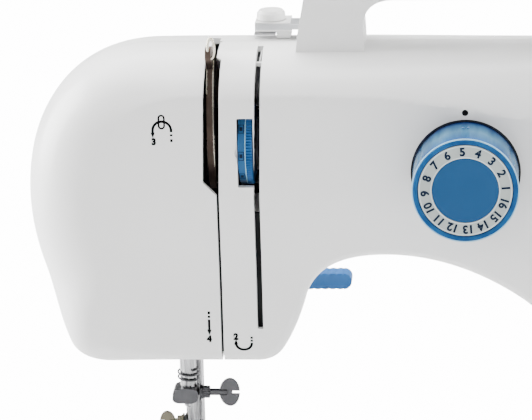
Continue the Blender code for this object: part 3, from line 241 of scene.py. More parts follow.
def tube(name, points, radius, sides=3, cyclic=False, handles="POLY"):
    """A round wire along points."""
    curve = bpy.data.curves.new(name, "CURVE")
    curve.dimensions = "3D"
    curve.bevel_depth = radius
    curve.bevel_resolution = sides
    curve.use_fill_caps = not cyclic
    curve.resolution_u = 6
    spline = curve.splines.new(handles)
    if handles == "BEZIER":
        spline.bezier_points.add(len(points) - 1)
        for point, place in zip(spline.bezier_points, points):
            point.co = place
            point.handle_left_type = point.handle_right_type = "AUTO"
    else:
        spline.points.add(len(points) - 1)
        for point, place in zip(spline.points, points):
            point.co = (*place, 1)
    spline.use_cyclic_u = cyclic
    return smooth(welded(applied(linked(name, curve))), 60)


def steps(count):
    """Evenly spaced angles round a full turn."""
    return [2 * math.pi * i / count for i in range(count)]


def circle(u, v, radius, sides=32, start=0.0, end=2 * math.pi):
    whole = abs(abs(end - start) - 2 * math.pi) < 1e-6
    count = sides if whole else sides - 1
    angles = [start + (end - start) * i / count for i in range(sides)]
    return [(u + radius * math.cos(a), v + radius * math.sin(a)) for a in angles]


def capsule(a, b, radius_a, radius_b, sides=16):
    """Outline of a link: two round ends, joined by their outer tangents."""
    heading = math.atan2(b[1] - a[1], b[0] - a[0])
    touch = math.acos((radius_a - radius_b) / math.dist(a, b))
    near = circle(*a, radius_a, sides, heading + touch, heading + 2 * math.pi - touch)
    return near + circle(*b, radius_b, sides, heading - touch, heading + touch)


def rounded(u, v, radius, corner=8):
    """Outline of a rectangle from two (low, high) pairs with round corners."""
    quarter = math.pi / 2
    corners = (
        (u[1] - radius, v[1] - radius, 0),
        (u[0] + radius, v[1] - radius, 1),
        (u[0] + radius, v[0] + radius, 2),
        (u[1] - radius, v[0] + radius, 3),
    )
    points = []
    for cu, cv, turn in corners:
        points += circle(cu, cv, radius, corner, turn * quarter, (turn + 1) * quarter)
    return points


# Materials --------------------------------------------------------------------
class Look:
    """Builds one node material: a shader and the textures that drive it."""

    def __init__(self, name):
        self.material = bpy.data.materials.new(name)
        self.material.use_nodes = True
        self.nodes = self.material.node_tree.nodes
        self.links = self.material.node_tree.links
        self.shader = self.nodes["Principled BSDF"]
        self.where = self.nodes.new("ShaderNodeTexCoord").outputs["Object"]

    def set(self, **values):
        for name, value in values.items():
            self.shader.inputs[name.replace("_", " ")].default_value = value
        return self

    def noise(self, scale, detail=3.0, roughness=0.55, stretch=None):
        node = self.nodes.new("ShaderNodeTexNoise")
        node.inputs["Scale"].default_value = scale
        node.inputs["Detail"].default_value = detail
        node.inputs["Roughness"].default_value = roughness
        where = self.where
        if stretch:
            mapping = self.nodes.new("ShaderNodeMapping")
            mapping.inputs["Scale"].default_value = stretch
            self.links.new(where, mapping.inputs["Vector"])
            where = mapping.outputs["Vector"]
        self.links.new(where, node.inputs["Vector"])
        return node.outputs["Fac"]

    def ramp(self, value, *stops):
        """A colour ramp over value from (position, colour) stops."""
        node = self.nodes.new("ShaderNodeValToRGB")
        elements = node.color_ramp.elements
        while len(elements) < len(stops):
            elements.new(0.5)
        for element, (position, colour) in zip(elements, stops):
            element.position = position
            element.color = (*colour, 1) if len(colour) == 3 else colour
        self.links.new(value, node.inputs["Fac"])
        return node.outputs["Color"]

    def span(self, value, low, high, to_low, to_high):
        node = self.nodes.new("ShaderNodeMapRange")
        numbers = (low, high, to_low, to_high)
        for name, number in zip(("From Min", "From Max", "To Min", "To Max"), numbers):
            node.inputs[name].default_value = number
        self.links.new(value, node.inputs["Value"])
        return node.outputs["Result"]

    def part(self, axis):
        node = self.nodes.new("ShaderNodeSeparateXYZ")
        self.links.new(self.where, node.inputs["Vector"])
        return node.outputs[axis]

    def mixed(self, factor, a, b, how="MIX"):
        node = self.nodes.new("ShaderNodeMix")
        node.data_type = "RGBA"
        node.blend_type = how
        for socket, value in ((node.inputs[0], factor), (node.inputs[6], a), (node.inputs[7], b)):
            if isinstance(value, (float, int)):
                socket.default_value = value
            elif isinstance(value, tuple):
                socket.default_value = (*value, 1)
            else:
                self.links.new(value, socket)
        return node.outputs[2]

    def drive(self, name, output):
        self.links.new(output, self.shader.inputs[name])
        return self

    def bump(self, height, strength, distance=0.0002):
        node = self.nodes.new("ShaderNodeBump")
        node.inputs["Strength"].default_value = strength
        node.inputs["Distance"].default_value = distance
        self.links.new(height, node.inputs["Height"])
        self.links.new(node.outputs["Normal"], self.shader.inputs["Normal"])
        return self


def tint(colour, factor):
    return tuple(channel * factor for channel in colour)


def plastic(name, colour, roughness, grain=900, strength=0.06, vary=0.02, coat=0.0, ior=1.49):
    """Moulded plastic: faint flow mottling, a fine eggshell grain and uneven gloss."""
    look = Look(name)
    look.set(IOR=ior, Coat_Weight=coat, Coat_Roughness=0.08)
    flow = look.noise(14, 4)
    stops = ((0.35, tint(colour, 1 - vary)), (0.65, tint(colour, 1 + vary)))
    look.drive("Base Color", look.ramp(flow, *stops))
    haze = look.noise(60, 5, 0.65)
    look.drive("Roughness", look.span(haze, 0.3, 0.7, roughness * 0.88, roughness * 1.14))
    return look.bump(look.noise(grain, 2), strength, 0.00005).material


def metal(name, colour, roughness, brushed=None, vary=0.05, strength=0.08):
    """Worked metal: fine brushing along one axis, or cloudy polish, with small stains."""
    look = Look(name)
    look.set(Metallic=1.0)
    stain = look.noise(120, 6, 0.7)
    stops = ((0.3, tint(colour, 1 - vary)), (0.7, tint(colour, 1 + vary / 2)))
    look.drive("Base Color", look.ramp(stain, *stops))
    fine = look.noise(1800, 3, 0.6, brushed) if brushed else look.noise(700, 4, 0.6)
    look.drive("Roughness", look.span(fine, 0.25, 0.75, roughness * 0.75, roughness * 1.3))
    return look.bump(fine, strength, 0.00003).material


def ground_metal(name, dark, light, roughness):
    """A steel bar with painted reflections: uneven bright and dark streaks along its length."""
    look = Look(name)
    look.set(Metallic=1.0)
    # Dark and bright streaks along the bar: painted reflections.
    streak = look.noise(330, 4, 0.6, (1, 1, 0.05))
    look.drive("Base Color", look.ramp(streak, (0.40, dark), (0.60, light)))
    fine = look.noise(1500, 3, 0.6, (1, 1, 0.06))
    look.drive("Roughness", look.span(fine, 0.25, 0.75, roughness * 0.7, roughness * 1.5))
    return look.bump(fine, 0.1, 0.00003).material


def casting(name, colour, roughness=0.55):
    look = Look(name)
    look.set(Metallic=0.85)
    sand = look.noise(420, 5, 0.7)
    look.drive("Base Color", look.ramp(sand, (0.3, tint(colour, 0.85)), (0.7, tint(colour, 1.1))))
    look.drive("Roughness", look.span(sand, 0.3, 0.7, roughness * 0.9, roughness * 1.15))
    return look.bump(sand, 0.35, 0.0003).material


def rubber(name, colour):
    look = Look(name)
    dust = look.noise(90, 5, 0.7)
    look.drive("Base Color", look.ramp(dust, (0.4, colour), (0.75, tint(colour, 1.7))))
    look.drive("Roughness", look.span(dust, 0.3, 0.7, 0.72, 0.9))
    return look.bump(look.noise(1400, 3), 0.25, 0.0001).material


def dial_plastic(name):
    """Tinted plastic of the selector: navy in its gap as painted shade, pale down the side as painted
    light shining through the plastic, deep blue at the rim.
    """
    look = Look(name)
    look.set(IOR=1.08, Coat_Weight=0.0)
    depth = look.span(look.part("Y"), FRONT_Y, FRONT_Y - 27 * mm, 0, 1)
    # Colour along the depth: the near-black stops at the base are painted shade in the gap, and the pale
    # middle is painted light through the side.
    side = look.ramp(
        depth,
        (0.0, (0.001, 0.003, 0.02)),
        (0.08, (0.004, 0.018, 0.07)),
        (0.20, (0.020, 0.075, 0.15)),
        (0.50, (0.055, 0.150, 0.235)),
        (0.76, (0.030, 0.105, 0.21)),
        (0.88, (0.020, 0.085, 0.22)),
    )
    streak = look.noise(160, 3, 0.6, (1, 0.12, 1))
    shade = look.ramp(streak, (0.35, (0.55, 0.65, 0.75)), (0.65, (1.0, 1.0, 1.0)))
    look.drive("Base Color", look.mixed(1.0, side, shade, "MULTIPLY"))
    haze = look.noise(80, 4)
    look.drive("Roughness", look.span(haze, 0.3, 0.7, 0.14, 0.24))
    return look.bump(look.noise(600, 2), 0.03, 0.00005).material


LOOKS = {
    "white_shell": plastic("Cover white", (0.80, 0.80, 0.795), 0.34, vary=0.008, coat=0.15),
    "white_control": plastic("Fitting white", (0.76, 0.76, 0.75), 0.3, vary=0.01, coat=0.15),
    "blue_control": plastic("Control blue", (0.022, 0.095, 0.26), 0.4, vary=0.08, ior=1.25),
    "cap_blue": plastic("Cap blue", (0.017, 0.068, 0.17), 0.62, vary=0.03, ior=1.12),
    "ring_grey": plastic("Ring grey", (0.37, 0.41, 0.40), 0.6, vary=0.04, ior=1.2),
    "black_plastic": plastic("Black moulding", (0.012, 0.012, 0.014), 0.45, 700, 0.2, 0.2),
    "clear_cover": plastic("Smoky cover", (0.28, 0.31, 0.33), 0.12, vary=0.05, coat=0.6),
    "chrome": metal("Chrome plate", (0.78, 0.78, 0.79), 0.12),
    "steel": metal("Turned steel", (0.36, 0.36, 0.37), 0.32, (1, 1, 0.06)),
    "sheet_steel": metal("Zinc sheet", (0.5, 0.51, 0.53), 0.4, (0.05, 1, 1), 0.12),
    "casting": casting("Cast frame", (0.33, 0.34, 0.35)),
    "belt_rubber": rubber("Belt rubber", (0.015, 0.015, 0.016)),
    "foot_rubber": rubber("Foot rubber", (0.025, 0.025, 0.026)),
}
RING_LINE = plastic("Ring line", (0.6, 0.66, 0.68), 0.45)
SIDE_MARK = plastic("Side mark", (0.03, 0.12, 0.30), 0.3)
PRINT = plastic("Printed ink", (0.003, 0.003, 0.004), 0.6, vary=0.1, ior=1.12)
DIGIT_INK = plastic("Dial ink", (0.004, 0.012, 0.03), 0.6, vary=0.1, ior=1.15)
# Near-black for discs and strips set in gaps and recesses: painted shade.
GAP_SHADE_BLACK = plastic("Painted gap shade", (0.006, 0.007, 0.009), 0.7, vary=0.2)
# Near-black steel for the parts inside the housing: painted shade, not their own finish.
INSIDE_SHADE_STEEL = metal("Inside shade steel", (0.02, 0.02, 0.022), 0.5, vary=0.15)


def place_piece(obj, body, slot=None, look=None, replaces=()):
    """Gives a finished piece its body, its finish and the frame's nodes that it stands for."""
    obj.data.materials.clear()
    obj.data.materials.append(look or LOOKS[slot])
    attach(obj, body)
    if replaces:
        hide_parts(*replaces)
    return obj


# Body shells ------------------------------------------------------------------
def bezier(start, control_a, control_b, end, count):
    """Points along a cubic, after its start."""
    points = []
    for i in range(1, count + 1):
        t = i / count
        weights = ((1 - t) ** 3, 3 * t * (1 - t) ** 2, 3 * t * t * (1 - t), t**3)
        sets = list(zip(weights, (start, control_a, control_b, end)))
        points.append((sum(w * p[0] for w, p in sets), sum(w * p[1] for w, p in sets)))
    return points


FINER = 4  # times as many points along each curve as the frame's solids have
STEP = 6.0  # most millimetres between points of a straight stretch


def path(start, *pieces):
    """An outline in metres from points in millimetres: an (x, z) pair is a straight stretch,
    and a tuple of two controls, an end and a count is a cubic."""
    points = [start]
    for piece in pieces:
        if len(piece) == 2:
            parts = max(1, math.ceil(math.dist(points[-1], piece) / STEP))
            a = Vector(points[-1])
            b = Vector(piece)
            points += [tuple(a.lerp(b, i / parts)) for i in range(1, parts + 1)]
        else:
            points += bezier(points[-1], *piece[:3], piece[3] * FINER)
    return [(x * mm, z * mm) for x, z in points]


TOP_PATH = ((112, 272), ((152, 272), (171, 252), (172, 218), 9), (172, FOOT_Z / mm))
ARCH_START = (47, FOOT_Z / mm)
ARCH_PATH = (
    ((40, 84), (38, 96), (38, 112), 4),
    ((38, 137), (28, 158), (15, 167.2), 6),
    ((0, 177.7), (-20, 186.5), (-42, 186.5), 6),
    ((-62, 186.5), (-72, 180), (-76, 169), 6),
    ((-78, 161), (-82, 151), (-86, 145), 4),
    ((-88.5, 141), (-92, 139.3), (-97, 139), 4),
)
HEAD_PATH = (
    (-160, 139),
    ((-168, 139), (-174, 141.5), (-177.5, 146.5), 4),
    ((-187.5, 163), (-196, 186), (-196, 207), 7),
    ((-196, 250), (-172, 272), (-140, 272), 10),
)
# The soft edge of the lower panel, which leans back a little below it.
PANEL_PATH = (
    (-162, 120),
    (-163.5, 180),
    ((-164, 198), (-152, 206), (-134, 208.5), 5),
    ((-118, 211), (-106, 213.5), (-96, 213.5), 4),
    ((-62, 213), (-20, 211), (6, 192), 6),
    ((34, 168), (52, 120), (66, 66), 6),
)
PANEL_LEAN = math.tan(math.radians(4.5))


def spread(value, low, high, at_low, at_high):
    """Turns smoothly from at_low to at_high as value goes from low to high."""
    t = min(1, max(0, (value - low) / (high - low)))
    return at_low + (at_high - at_low) * t * t * (3 - 2 * t)


def shoulder(x, z):
    """Width, depth and end angle of the rounding at an outline point."""
    on_top = spread(z, 225 * mm, 262 * mm, 0, 1)
    at_left = spread(x, -175 * mm, -125 * mm, 1, 0)
    at_right = spread(x, 60 * mm, 168 * mm, 0, 1)
    crease = 16 * mm + spread(x, -60 * mm, 60 * mm, 0, 14 * mm)
    side = 12 * mm
    low_left = spread(z, 140 * mm, 175 * mm, 10 * mm, 28 * mm)
    below = 4 * mm
    if x < (SPLIT_LEFT + SPLIT_RIGHT) / 2:
        left = low_left * at_left + below * (1 - at_left)
        width = left * (1 - on_top) + on_top * spread(x, -175 * mm, -125 * mm, 27 * mm, crease)
        depth = spread(z, 140 * mm, 175 * mm, 6 * mm, 32 * mm)
    else:
        right = side * at_right + below * (1 - at_right)
        top = crease * (1 - at_right) + 18 * mm * at_right
        width = right * (1 - on_top) + top * on_top
        depth = (6 * mm + 10 * mm * at_right) * (1 - on_top) + 32 * mm * on_top
    return width, depth, math.radians(90 - 26 * on_top * (1 - at_left))


def inward(points, i):
    """Unit normal of an open outline, to the side that its body lies on."""
    a = Vector(points[max(0, i - 1)])
    b = Vector(points[min(len(points) - 1, i + 1)])
    along = (b - a).normalized()
    if i in (0, len(points) - 1):
        straight = Vector((1, 0)) if abs(along.x) > abs(along.y) else Vector((0, 1))
        along = straight if along.dot(straight) > 0 else -straight
    return Vector((along.y, -along.x))


PANEL = [Vector(point) for point in path(PANEL_PATH[0], *PANEL_PATH[1:])]


def panel_drop(x, z):
    """How far back the front lies at a place, from how far below the panel's edge it is."""
    here = Vector((x, z))
    best = None
    for a, b in zip(PANEL, PANEL[1:]):
        span = b - a
        t = min(1, max(0, (here - a).dot(span) / span.length_squared))
        off = here - (a + span * t)
        if best is None or off.length < abs(best):
            side = span.x * off.y - span.y * off.x
            best = off.length if side < 0 else -off.length
    if best <= 0:
        return 0.0
    soft = 3 * mm
    run = best * best / (2 * soft) if best < soft else best - soft / 2
    return PANEL_LEAN * min(run, 32 * mm)


def front_y(x, z):
    """Y of the front face at a place on its flat part."""
    return FRONT_Y + panel_drop(x, z)


SHOULDER_RINGS = 18


def shell(name, chains, seam_y, face_y, grid=0.0, lean=False, deepen=1.0):
    """A lofted shell over outlines that run clockwise, open at the parting plane."""
    bm = bmesh.new()
    inner = []
    reach = face_y - seam_y
    for points in chains:
        rings = []
        for i, (x, z) in enumerate(points):
            width, depth, end = shoulder(x, z)
            depth *= deepen
            normal = inward(points, i)
            column = [bm.verts.new((x, seam_y, z))]
            for k in range(SHOULDER_RINGS + 1):
                angle = end * k / SHOULDER_RINGS
                into = width * (1 - math.cos(angle)) / (1 - math.cos(end))
                along = (abs(reach) - depth) + depth * math.sin(angle) / math.sin(end)
                y = seam_y + math.copysign(along, reach)
                column.append(bm.verts.new((x + normal.x * into, y, z + normal.y * into)))
            rings.append(column)
        for a, b in zip(rings, rings[1:]):
            for k in range(SHOULDER_RINGS + 1):
                bm.faces.new((a[k], b[k], b[k + 1], a[k + 1]))
        inner += [column[-1] for column in rings]
    face = bm.faces.new(inner)
    bmesh.ops.recalc_face_normals(bm, faces=bm.faces)
    bm.normal_update()
    if face.normal.y * reach < 0:
        bmesh.ops.reverse_faces(bm, faces=bm.faces)
    if grid:
        slice_face(bm, face_y, grid)
    if lean:
        for vert in bm.verts:
            share = (vert.co.y - seam_y) / reach
            vert.co.y += panel_drop(vert.co.x, vert.co.z) * share
    obj = from_bmesh(name, bm, recalculate=False)
    solidify = obj.modifiers.new("Solidify", "SOLIDIFY")
    solidify.thickness = WALL
    solidify.offset = -1
    solidify.use_even_offset = True
    return applied(obj)


def slice_face(bm, face_y, grid):
    """Slices the flat face into a grid, so that it can lean in parts."""
    for axis in (0, 2):
        low = min(vert.co[axis] for vert in bm.verts)
        high = max(vert.co[axis] for vert in bm.verts)
        normal = Vector((1, 0, 0)) if axis == 0 else Vector((0, 0, 1))
        count = int((high - low) / grid)
        for i in range(1, count):
            flat = [f for f in bm.faces if all(abs(v.co.y - face_y) < 1e-6 for v in f.verts)]
            edges = {edge for f in flat for edge in f.edges}
            verts = {vert for f in flat for vert in f.verts}
            bmesh.ops.bisect_plane(
                bm,
                geom=[*flat, *edges, *verts],
                dist=1e-6,
                plane_co=normal * (low + (high - low) * i / count),
                plane_no=normal,
            )


def capped(obj):
    """Bevels the mouths that were cut in a shell, and smooths it."""
    return smooth(bevel(obj, 0.45 * mm, 3, 50), 40)


CHANNEL = (-97.0 * mm, -94.6 * mm)  # thread slot to the right of the strip
WINDOW_LEFT = -103.4 * mm
WINDOW_Z = (218 * mm, 247.6 * mm)
CHANNEL_FOOT = 156 * mm


TURN_Z, TOP_Z = 213 * mm, 256 * mm  # where the slots start to lean, and where they stop
SLOT_TOP = 269.4 * mm  # above this only the lever's own slot is open


def drift(z):
    """How far the slots' edges lean to the right at a height, above the lower panel."""
    return 1.1 * mm * min(1, max(0, (z - TURN_Z) / (TOP_Z - TURN_Z)))


def front_shell():
    top = path((SPLIT_RIGHT / mm, 272), *TOP_PATH)
    arch = path(ARCH_START, *ARCH_PATH, (SPLIT_RIGHT / mm, 139))
    obj = shell("front_casing", (top, arch), SEAM_Y - SEAM_GAP, FRONT_Y, 5 * mm, True)
    channel = [
        (CHANNEL[0], 154.6 * mm),
        (CHANNEL[1], 154.6 * mm),
        (CHANNEL[1], TURN_Z),
        (CHANNEL[1] + drift(TOP_Z), TOP_Z),
        (CHANNEL[1] + drift(TOP_Z), 290 * mm),
        (CHANNEL[0] + drift(TOP_Z), 290 * mm),
        (CHANNEL[0] + drift(TOP_Z), TOP_Z),
        (CHANNEL[0], TURN_Z),
    ]
    slot = plate("slot", [channel], 21 * mm, (0, 1 * mm, 0), IN_XZ)
    side = SPLIT_RIGHT - 2 * mm
    wedge = [
        (side, TURN_Z),
        (SPLIT_RIGHT, TURN_Z),
        (SPLIT_RIGHT + drift(TOP_Z), TOP_Z),
        (SPLIT_RIGHT + drift(TOP_Z), SLOT_TOP),
        (side, SLOT_TOP),
    ]
    wedge = plate("wedge", [wedge], 35 * mm, (0, 0, 0), IN_XZ)
    window = box("window", (WINDOW_LEFT, CHANNEL[0] + 0.3 * mm), (-20 * mm, 10 * mm), WINDOW_Z)
    well = rod("well", "Y", (DIAL.x, DIAL.z), -20 * mm, 12 * mm, 22.7 * mm, 96)
    length = rod("length_well", "Y", (LENGTH.x, LENGTH.z), -20 * mm, 12 * mm, 16.2 * mm, 72)
    low, high = corners("reverse_lever")
    gap = 0.6 * mm
    reverse = plate(
        "reverse_window",
        [rounded((low.x - gap, high.x + gap), (low.z - 3 * mm, high.z + 1.5 * mm), 1.5 * mm)],
        15 * mm,
        (0, FRONT_Y, 0),
        IN_XZ,
    )
    wheel = rod("wheel_hole", "X", (SHAFT.y, SHAFT.z), 160 * mm, 180 * mm, 12 * mm, 48)
    cut(obj, slot, wedge, window, well, length, reverse, wheel)
    return place_piece(capped(obj), "machine", "white_shell", replaces=["front_cover"])


def face_shell():
    points = path((SPLIT_LEFT / mm, 139), *HEAD_PATH, (SPLIT_LEFT / mm, 272))
    obj = shell("face_casing", (points,), SEAM_Y - SEAM_GAP, FRONT_Y, 5 * mm, True)
    outline = [
        (-115.6, 300),
        (-115.6, SLOT_TOP / mm + 1),
        (-117.0, SLOT_TOP / mm - 1.5),
        (-117.2, 256),
        (-118.2, 219.8),
        (-112.9, 214.3),
        (-100, 214.3),
        (-100, 300),
    ]
    slot = plate("slot", [[(u * mm, v * mm) for u, v in outline]], 35 * mm, (0, 0, 0), IN_XZ)
    notch = box("notch", (-146 * mm, -100 * mm), (8 * mm, 40 * mm), (130 * mm, 150 * mm))
    cut(obj, slot, notch)
    return place_piece(capped(obj), "end_door", "white_shell", replaces=["face_cover"])


def rear_shell():
    outline = path(ARCH_START, *ARCH_PATH, (-112, 139), *HEAD_PATH, (-112, 272), *TOP_PATH)
    obj = shell("rear_casing", (outline,), SEAM_Y + SEAM_GAP, BACK_Y, deepen=1.35)
    notch = box("notch", (-146 * mm, -105 * mm), (20 * mm, 60 * mm), (130 * mm, 150 * mm))
    hub = rod("lifter_hole", "Y", (LIFTER.x, LIFTER.z), 60 * mm, 90 * mm, 4.6 * mm, 32)
    lever = box("lever_slot", (-118.4 * mm, -112.6 * mm), (20 * mm, 36 * mm), (262 * mm, 280 * mm))
    wheel = rod("wheel_hole", "X", (SHAFT.y, SHAFT.z), 160 * mm, 180 * mm, 12 * mm, 48)
    vents = []
    for i in range(9):
        z = (96 + 6.5 * i) * mm
        vents.append(
            plate(
                f"vent_{i}",
                [rounded((92 * mm, 140 * mm), (z, z + 2.6 * mm), 1.2 * mm, 4)],
                10 * mm,
                (0, BACK_Y, 0),
                IN_XZ,
            )
        )
    deck = bevel(
        box("deck", (72 * mm, 122 * mm), (43 * mm, 64 * mm), (256 * mm, 271.9 * mm)), 3 * mm, 4
    )
    join(obj, deck)
    cut(obj, notch, hub, lever, wheel, *vents)
    return place_piece(capped(obj), "machine", "white_shell", replaces=["rear_cover"])


def channel_strip():
    """The raised strip between the two thread slots, which runs up and over the shoulder."""
    x0, x1 = SPLIT_RIGHT + 0.2 * mm, CHANNEL[0]
    proud = 1.1 * mm
    profile = []
    count = 60
    for i in range(count + 1):
        z = CHANNEL_FOOT + (255.8 * mm - CHANNEL_FOOT) * i / count
        profile.append(Vector((front_y(-104 * mm, z) - proud, z)))
    width, depth, end = shoulder(-104 * mm, 272 * mm)
    top = []
    for k in range(1, 25):
        angle = end * (1 - k / 24)
        into = width * (1 - math.cos(angle)) / (1 - math.cos(end))
        along = (SEAM_Y - SEAM_GAP - FRONT_Y - depth) + depth * math.sin(angle) / math.sin(end)
        top.append(Vector((SEAM_Y - SEAM_GAP - along, 272 * mm - into)))
    for point in top:
        profile.append(point + Vector((-proud * 0.6, proud * 0.6)) * (1 if point.y < 271 * mm else 0.4))
    bm = bmesh.new()
    columns = []
    across = 12
    corner = 4 * mm
    for j in range(across + 1):
        x = x0 + (x1 - x0) * j / across
        inset = min(x - x0, x1 - x)
        lift = corner - math.sqrt(max(0, corner**2 - max(0, corner - inset) ** 2))
        column = []
        for i, point in enumerate(profile):
            z = point.y
            if i <= count:
                z = max(point.y, CHANNEL_FOOT + lift) + i * 1e-7
            shift = drift(z)
            if z > SLOT_TOP and i > count:
                shift -= 1.9 * mm * (1 - j / across)
            column.append(bm.verts.new((x + shift, point.x, z)))
        columns.append(column)
    for a, b in zip(columns, columns[1:]):
        for i in range(len(profile) - 1):
            bm.faces.new((a[i], b[i], b[i + 1], a[i + 1]))
    bmesh.ops.remove_doubles(bm, verts=bm.verts, dist=0.00001)
    obj = from_bmesh("channel_strip", bm)
    if obj.data.polygons[0].normal.y > 0:
        obj.data.flip_normals()
    solidify = obj.modifiers.new("Solidify", "SOLIDIFY")
    solidify.thickness = 0.9 * mm
    solidify.offset = -1
    applied(obj)
    bump_z = (WINDOW_Z[0] + WINDOW_Z[1]) / 2
    window = plate(
        "strip_window",
        [rounded((WINDOW_LEFT, x1 + 4 * mm), WINDOW_Z, 0.6 * mm, 4)],
        10 * mm,
        (0, FRONT_Y, 0),
        IN_XZ,
    )
    nick = rod("nick", "Y", (WINDOW_LEFT + 1.5 * mm, bump_z), -20 * mm, 10 * mm, 2.6 * mm, 40)
    cut(obj, window, nick)
    return place_piece(capped(obj), "machine", "white_shell")


# Controls ---------------------------------------------------------------------
def dial_body():
    """The selector: a hollow tinted cup with shallow grips, a grey number ring and a cap."""
    deep = 26.5
    face = FRONT_Y - deep * mm

    def grips(radius, height, angle):
        wave = (0.5 + 0.5 * math.cos(12 * angle)) ** 8
        grip = 0.4 * mm if 2 * mm < height < 24 * mm and radius > 20 * mm else 0
        return radius - grip * wave

    profile = [
        (19.4, 0.0),
        (21.9, 0.0),
        (21.9, 1.5),
        (21.8, 6),
        (21.7, 13),
        (21.6, deep - 5),
        (21.55, deep - 2),
        (21.4, deep - 0.9),
        (21.1, deep - 0.3),
        (20.7, deep),
        (19.9, deep),
        (19.5, deep - 0.2),
        (19.3, deep - 0.7),
        (19.3, deep - 2),
        (12, deep - 2.1),
    ]
    points = [(radius * mm, height * mm) for radius, height in profile]
    turn = Matrix.Translation((DIAL.x, FRONT_Y, DIAL.z))
    cup = turned("dial_cup", "Y", (0, 0, 0), points, 192, grips)
    cup.data.transform(turn @ Matrix.Rotation(math.pi, 4, "X"))
    smooth(cup, 40)
    cup.data.materials.clear()
    place_piece(cup, "stitch_selector", "blue_control", dial_plastic("Dial blue"), ["pattern_dial"])
    # A near-black disc at the bottom of the well: painted shade in the gap round the dial.
    floor = rod("dial_shade_disc", "Y", (DIAL.x, DIAL.z), -4 * mm, -2.7 * mm, 22.9 * mm, 96)
    place_piece(floor, "stitch_selector", look=GAP_SHADE_BLACK)
    ring = plate(
        "dial_ring",
        [circle(0, 0, 19.05 * mm, 128), circle(0, 0, 13.55 * mm, 96)],
        0.5 * mm,
        (DIAL.x, face + 1.1 * mm, DIAL.z),
        IN_XZ,
    )
    ring = smooth(bevel(ring, 0.15 * mm, 2), 40)
    place_piece(ring, "stitch_selector", "ring_grey", replaces=["pattern_number_ring"])
    rings = []
    for radius in (18.6, 13.9):
        loop = [circle(0, 0, (radius + 0.18) * mm, 128), circle(0, 0, (radius - 0.18) * mm, 128)]
        place = (DIAL.x, face + 0.58 * mm, DIAL.z)
        rings.append(plate(f"ring_line_{radius:.0f}", loop, 0.03 * mm, place, IN_XZ))
    for line in rings:
        place_piece(line, "stitch_selector", look=RING_LINE)
    rim = 21.45 * mm
    edge = []
    for a in steps(128):
        edge.append((DIAL.x + rim * math.cos(a), face + 0.75 * mm, DIAL.z + rim * math.sin(a)))
    place_piece(tube("dial_edge", edge, 0.32 * mm, 3, cyclic=True), "stitch_selector", look=PALE_BLUE)
    for i, dx in enumerate((-1.0, 1.1)):
        mark = rod(
            f"dial_side_mark_{i}",
            "Z",
            (DIAL.x + dx * mm, FRONT_Y - 8.8 * mm),
            DIAL.z + 21.3 * mm,
            DIAL.z + 21.86 * mm,
            0.55 * mm,
            24,
        )
        place_piece(smooth(mark), "stitch_selector", look=SIDE_MARK)
    cap = turned(
        "dial_cap",
        "Y",
        (0, 0, 0),
        [(13.4 * mm, 0), (13.4 * mm, 0.75 * mm), (13.25 * mm, 0.9 * mm), (6 * mm, 0.95 * mm)],
        96,
    )
    cap.data.transform(
        Matrix.Translation((DIAL.x, face + 1.5 * mm, DIAL.z)) @ Matrix.Rotation(math.pi, 4, "X")
    )
    place_piece(smooth(cap), "stitch_selector", "cap_blue", replaces=["pattern_dial_cap"])
    dial_digits(face + 0.58 * mm)


STITCHES = 16
FIRST_DIGIT = math.radians(4)


def lettered(name, text, size, depth, weight=0.02):
    """Text as a thin solid, centred on its own origin."""
    curve = bpy.data.curves.new(name, "FONT")
    curve.body = text
    curve.size = size
    curve.extrude = depth
    curve.offset = size * weight
    curve.align_x = "CENTER"
    curve.align_y = "CENTER"
    curve.resolution_u = 4
    return applied(linked(name, curve))


def dial_digits(face):
    for i in range(STITCHES):
        angle = FIRST_DIGIT + 2 * math.pi * i / STITCHES
        label = lettered(f"dial_digit_{i + 1}", str(i + 1), 4.7 * mm, 0.04 * mm, 0.042)
        out = 16.15 * mm
        place = Matrix.Translation(
            (DIAL.x + out * math.cos(angle), face, DIAL.z + out * math.sin(angle))
        )
        spin = Matrix.Rotation(-(angle - math.pi / 2), 4, "Y")
        label.data.transform(place @ spin @ Matrix.Rotation(math.pi / 2, 4, "X"))
        place_piece(label, "stitch_selector", look=DIGIT_INK)


def length_dial():
    """The stitch length dial, of the same tinted plastic, with a printed scale on its face."""
    def grips(radius, height, angle):
        wave = (0.5 + 0.5 * math.cos(20 * angle)) ** 4
        return radius - (0.45 * mm * wave if 1 * mm < height < 13 * mm and radius > 13 * mm else 0)

    profile = [(12, 0), (15.4, 0), (15.3, 4), (14.9, 9), (14.5, 13), (14.1, 14.2), (13.4, 14.9), (9, 15.1)]
    dial = turned(
        "length_dial", "Y", (0, 0, 0), [(r * mm, h * mm) for r, h in profile], 160, grips
    )
    dial.data.transform(
        Matrix.Translation((LENGTH.x, FRONT_Y + 0.2 * mm, LENGTH.z)) @ Matrix.Rotation(math.pi, 4, "X")
    )
    place_piece(smooth(dial, 40), "length_selector", "blue_control", replaces=["stitch_length_dial"])
    # A near-black disc at the bottom of the well: painted shade in the gap round the dial.
    seat = rod("length_shade_disc", "Y", (LENGTH.x, LENGTH.z), -4 * mm, -2.7 * mm, 16 * mm, 64)
    place_piece(seat, "length_selector", look=GAP_SHADE_BLACK)
    for i in range(5):
        angle = math.radians(90 + 62 * i)
        label = lettered(f"length_digit_{i}", str(i), 3.6 * mm, 0.03 * mm)
        out = 10.6 * mm
        place = Matrix.Translation(
            (
                LENGTH.x + out * math.cos(angle),
                FRONT_Y - 14.93 * mm,
                LENGTH.z + out * math.sin(angle),
            )
        )
        spin = Matrix.Rotation(-(angle - math.pi / 2), 4, "Y")
        label.data.transform(place @ spin @ Matrix.Rotation(math.pi / 2, 4, "X"))
        place_piece(label, "length_selector", "white_control")


def dot(name, x, z, radius, body):
    piece = rod(name, "Y", (x, z), front_y(x, z) - 0.05 * mm, front_y(x, z) + 0.2 * mm, radius, 40)
    return place_piece(smooth(piece), body, look=PRINT)


